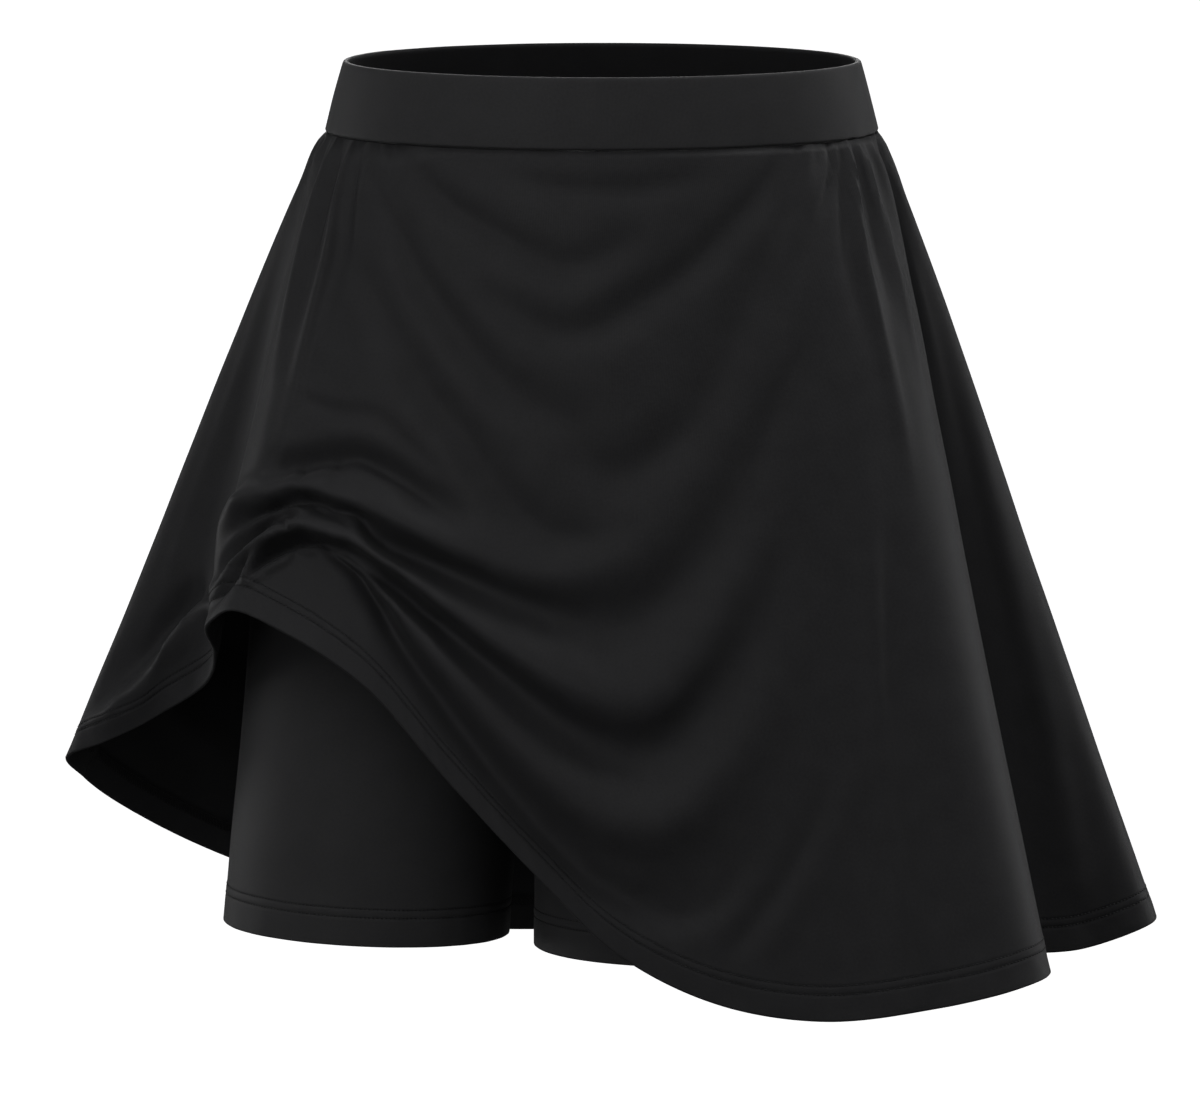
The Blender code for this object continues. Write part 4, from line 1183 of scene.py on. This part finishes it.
def knit_height(tree, wale, course):
    """Columns of small V-shaped loops on the flat cloth, from 0 in the gaps to 1 on the yarn."""
    uv = node(tree, "ShaderNodeUVMap", uv_map="cloth").outputs["UV"]
    split = node(tree, "ShaderNodeSeparateXYZ")
    tree.links.new(uv, split.inputs[0])
    across = calculate(tree, "FRACT", calculate(tree, "DIVIDE", split.outputs["X"], wale))
    from_middle = calculate(tree, "ABSOLUTE", calculate(tree, "SUBTRACT", across, 0.5))
    arm = calculate(tree, "MULTIPLY", from_middle, 2.0)
    rise = calculate(tree, "DIVIDE", split.outputs["Y"], course)
    phase = calculate(tree, "MULTIPLY", calculate(tree, "MULTIPLY_ADD", arm, 0.6, rise), 2 * math.pi)
    loops = calculate(tree, "MULTIPLY_ADD", calculate(tree, "SINE", phase), 0.25, 0.75)
    rib = calculate(tree, "SUBTRACT", 1.0, calculate(tree, "POWER", arm, 2.5))
    return uv, calculate(tree, "MULTIPLY", rib, loops)


def noise(tree, coordinates, scale, detail):
    made = node(tree, "ShaderNodeTexNoise")
    tree.links.new(coordinates, made.inputs["Vector"])
    made.inputs["Scale"].default_value = scale
    made.inputs["Detail"].default_value = detail
    return made.outputs["Fac"]


def jersey(name, dark, light, roughness, gloss, sheen, relief):
    """Stretch jersey: knitted loops in its relief, and in its colour as painted shade that darkens the gaps
    between them, with faint mottling and a soft sheen.
    """
    material = bpy.data.materials.new(name)
    material.use_nodes = True
    tree = material.node_tree
    shader = tree.nodes["Principled BSDF"]
    uv, knit = knit_height(tree, WALE, COURSE)
    fuzz = noise(tree, uv, 2600.0, 2.0)
    grain = noise(tree, uv, 650.0, 3.0)
    mottle = noise(tree, uv, 60.0, 3.0)
    height = calculate(tree, "MULTIPLY_ADD", fuzz, 0.6, knit)
    blotches = calculate(tree, "MULTIPLY_ADD", mottle, 0.4, calculate(tree, "MULTIPLY", grain, 0.6))
    # Painted shade: the colour darkens in the knit's low gaps and lightens on the raised yarn and fuzz; the
    # mottle and grain are the cloth's own uneven tone.
    knit_shade_and_mottle = calculate(tree, "MULTIPLY_ADD", height, 0.35, calculate(tree, "SUBTRACT", blotches, 0.15))
    colours = node(tree, "ShaderNodeMix", data_type="RGBA")
    tree.links.new(knit_shade_and_mottle, colours.inputs["Factor"])
    colours.inputs["A"].default_value = (*dark, 1.0)
    colours.inputs["B"].default_value = (*light, 1.0)
    tree.links.new(colours.outputs["Result"], shader.inputs["Base Color"])
    tree.links.new(calculate(tree, "MULTIPLY_ADD", mottle, 0.1, roughness - 0.05), shader.inputs["Roughness"])
    shader.inputs["Specular IOR Level"].default_value = gloss
    shader.inputs["Sheen Weight"].default_value = sheen
    shader.inputs["Sheen Roughness"].default_value = 0.3
    raised = node(tree, "ShaderNodeBump")
    raised.inputs["Strength"].default_value = relief
    raised.inputs["Distance"].default_value = KNIT_RELIEF
    tree.links.new(height, raised.inputs["Height"])
    tree.links.new(raised.outputs["Normal"], shader.inputs["Normal"])
    return material


def thread(name, colour):
    """Sewing thread: a fine grain in its colour."""
    material = bpy.data.materials.new(name)
    material.use_nodes = True
    tree = material.node_tree
    shader = tree.nodes["Principled BSDF"]
    place = node(tree, "ShaderNodeTexCoord").outputs["Object"]
    grain = noise(tree, place, 3000.0, 1.0)
    ramp = node(tree, "ShaderNodeMix", data_type="RGBA")
    tree.links.new(grain, ramp.inputs["Factor"])
    ramp.inputs["A"].default_value = (*[0.6 * c for c in colour], 1.0)
    ramp.inputs["B"].default_value = (*[1.4 * c for c in colour], 1.0)
    tree.links.new(ramp.outputs["Result"], shader.inputs["Base Color"])
    shader.inputs["Roughness"].default_value = 0.5
    shader.inputs["Specular IOR Level"].default_value = 0.25
    return material


# ---------------------------------------------------------------- camera, light and floor

CAMERA_TARGET = (-0.001, 0.0, -0.264)
CAMERA_DISTANCE = 5.0
CAMERA_ELEVATION = math.radians(6.5)
CAMERA_LENS = 277.8
FLOOR_HEIGHT = -4.0


def look_at(obj, target):
    obj.rotation_euler = (Vector(target) - obj.location).to_track_quat("-Z", "Y").to_euler()


def add_camera():
    camera = bpy.data.cameras.new("camera")
    camera.lens = CAMERA_LENS
    camera.sensor_width = 36.0
    camera.clip_end = 200.0
    obj = bpy.data.objects.new("camera", camera)
    bpy.context.scene.collection.objects.link(obj)
    out, up = math.cos(CAMERA_ELEVATION), math.sin(CAMERA_ELEVATION)
    obj.location = Vector(CAMERA_TARGET) + CAMERA_DISTANCE * Vector((0.0, -out, up))
    look_at(obj, CAMERA_TARGET)
    bpy.context.scene.camera = obj


# Square soft boxes aimed at the skirt: (azimuth, elevation in degrees, distance, power in watts).
LIGHTS = (
    (0, 30, 3.0, 5.0),
    (30, 0, 3.0, 2.5),
    (45, 60, 3.0, 5.0),
    (90, 30, 3.0, 8.0),
    (90, 60, 3.0, 45.0),
    (120, 0, 3.0, 18.0),
    (120, 30, 3.0, 22.0),
    (180, 30, 2.9, 32.0),
    (-120, 0, 3.0, 19.0),
    (-90, 0, 3.0, 2.0),
    (-90, 30, 3.0, 4.0),
    (-90, 60, 3.0, 14.0),
    (-30, 0, 3.0, 10.0),
    (-30, 30, 3.0, 28.0),
)
SOFTBOX_SIZE = 0.4  # side of each, as a share of its distance
FILL_LIGHT = 0.1
STAGE_HALF = 12.0
WALL_TOP = 9.0
WALL_GLOW = 1.0
FLOOR_GLOW = 1.0


def add_light(azimuth, elevation, distance, power):
    name = f"softbox {azimuth} {elevation}"
    light = bpy.data.lights.new(name, "AREA")
    light.size = SOFTBOX_SIZE * distance
    light.energy = power
    obj = bpy.data.objects.new(name, light)
    bpy.context.scene.collection.objects.link(obj)
    turn, rise = math.radians(azimuth), math.radians(elevation)
    toward = Vector((math.sin(turn) * math.cos(rise), -math.cos(turn) * math.cos(rise), math.sin(rise)))
    obj.location = Vector(CAMERA_TARGET) + distance * toward
    look_at(obj, CAMERA_TARGET)


def add_stage(name, corners, faces, glow):
    """Pale floor or walls: seen by the camera, left out of the light that reaches the cloth."""
    mesh = bpy.data.meshes.new(name)
    mesh.from_pydata(corners, [], faces)
    mesh.materials.append(pale_material(name, glow))
    obj = bpy.data.objects.new(name, mesh)
    obj.visible_diffuse = obj.visible_glossy = False
    bpy.context.scene.collection.objects.link(obj)


def pale_material(name, glow):
    material = bpy.data.materials.new(name)
    material.use_nodes = True
    shader = material.node_tree.nodes["Principled BSDF"]
    shader.inputs["Base Color"].default_value = (0.85, 0.85, 0.85, 1.0)
    shader.inputs["Roughness"].default_value = 0.9
    shader.inputs["Specular IOR Level"].default_value = 0.0
    shader.inputs["Emission Color"].default_value = (1.0, 1.0, 1.0, 1.0)
    shader.inputs["Emission Strength"].default_value = glow
    return material


def add_studio():
    for row in LIGHTS:
        add_light(*row)
    world = bpy.data.worlds.new("studio")
    bpy.context.scene.world = world
    world.use_nodes = True
    background = world.node_tree.nodes["Background"]
    background.inputs["Color"].default_value = (1.0, 1.0, 1.0, 1.0)
    background.inputs["Strength"].default_value = FILL_LIGHT
    ring = [(x * STAGE_HALF, y * STAGE_HALF) for x, y in ((-1, -1), (1, -1), (1, 1), (-1, 1))]
    corners = [(x, y, z) for z in (FLOOR_HEIGHT, WALL_TOP) for x, y in ring]
    add_stage("floor", corners[:4], [(0, 1, 2, 3)], FLOOR_GLOW)
    add_stage("walls", corners, [(k, (k + 1) % 4, (k + 1) % 4 + 4, k + 4) for k in range(4)], WALL_GLOW)
    bpy.context.scene.view_settings.view_transform = "Standard"


# ---------------------------------------------------------------- putting it together


def clear_scene():
    for obj in list(bpy.data.objects):
        bpy.data.objects.remove(obj, do_unlink=True)


def main():
    clear_scene()
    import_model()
    add_camera()
    skirt_cloth, shorts_cloth, band_cloth, band_inside = (jersey(*row) for row in CLOTHS)
    sewing_thread = thread("sewing_thread", THREAD_COLOUR)

    band = build_band(band_cloth, band_inside)
    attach(band, "root")
    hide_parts("waistband")
    pieces = (
        ("skirt_front", "skirt_jersey", HEM_DEPTH, build_front(skirt_cloth)),
        ("skirt_back", "skirt_jersey", HEM_DEPTH, build_back(skirt_cloth)),
        ("shorts_leg_right", "shorts_jersey", SHORTS_HEM_DEPTH,
         build_leg("shorts_leg_right_cloth", -1, RIGHT_LEG, RIGHT_LEG_SEED, shorts_cloth)),
        ("shorts_leg_left", "shorts_jersey", SHORTS_HEM_DEPTH,
         build_leg("shorts_leg_left_cloth", 1, LEFT_LEG, LEFT_LEG_SEED, shorts_cloth)),
    )
    for cad_node, slot, depth, (cloth, outer, inner, normal) in pieces:
        sewn = hem_stitches(f"{cad_node}_stitches", outer, inner, normal, depth, sewing_thread)
        for piece in (cloth, sewn):
            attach(piece, "root")
        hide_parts(cad_node)
    add_studio()


main()
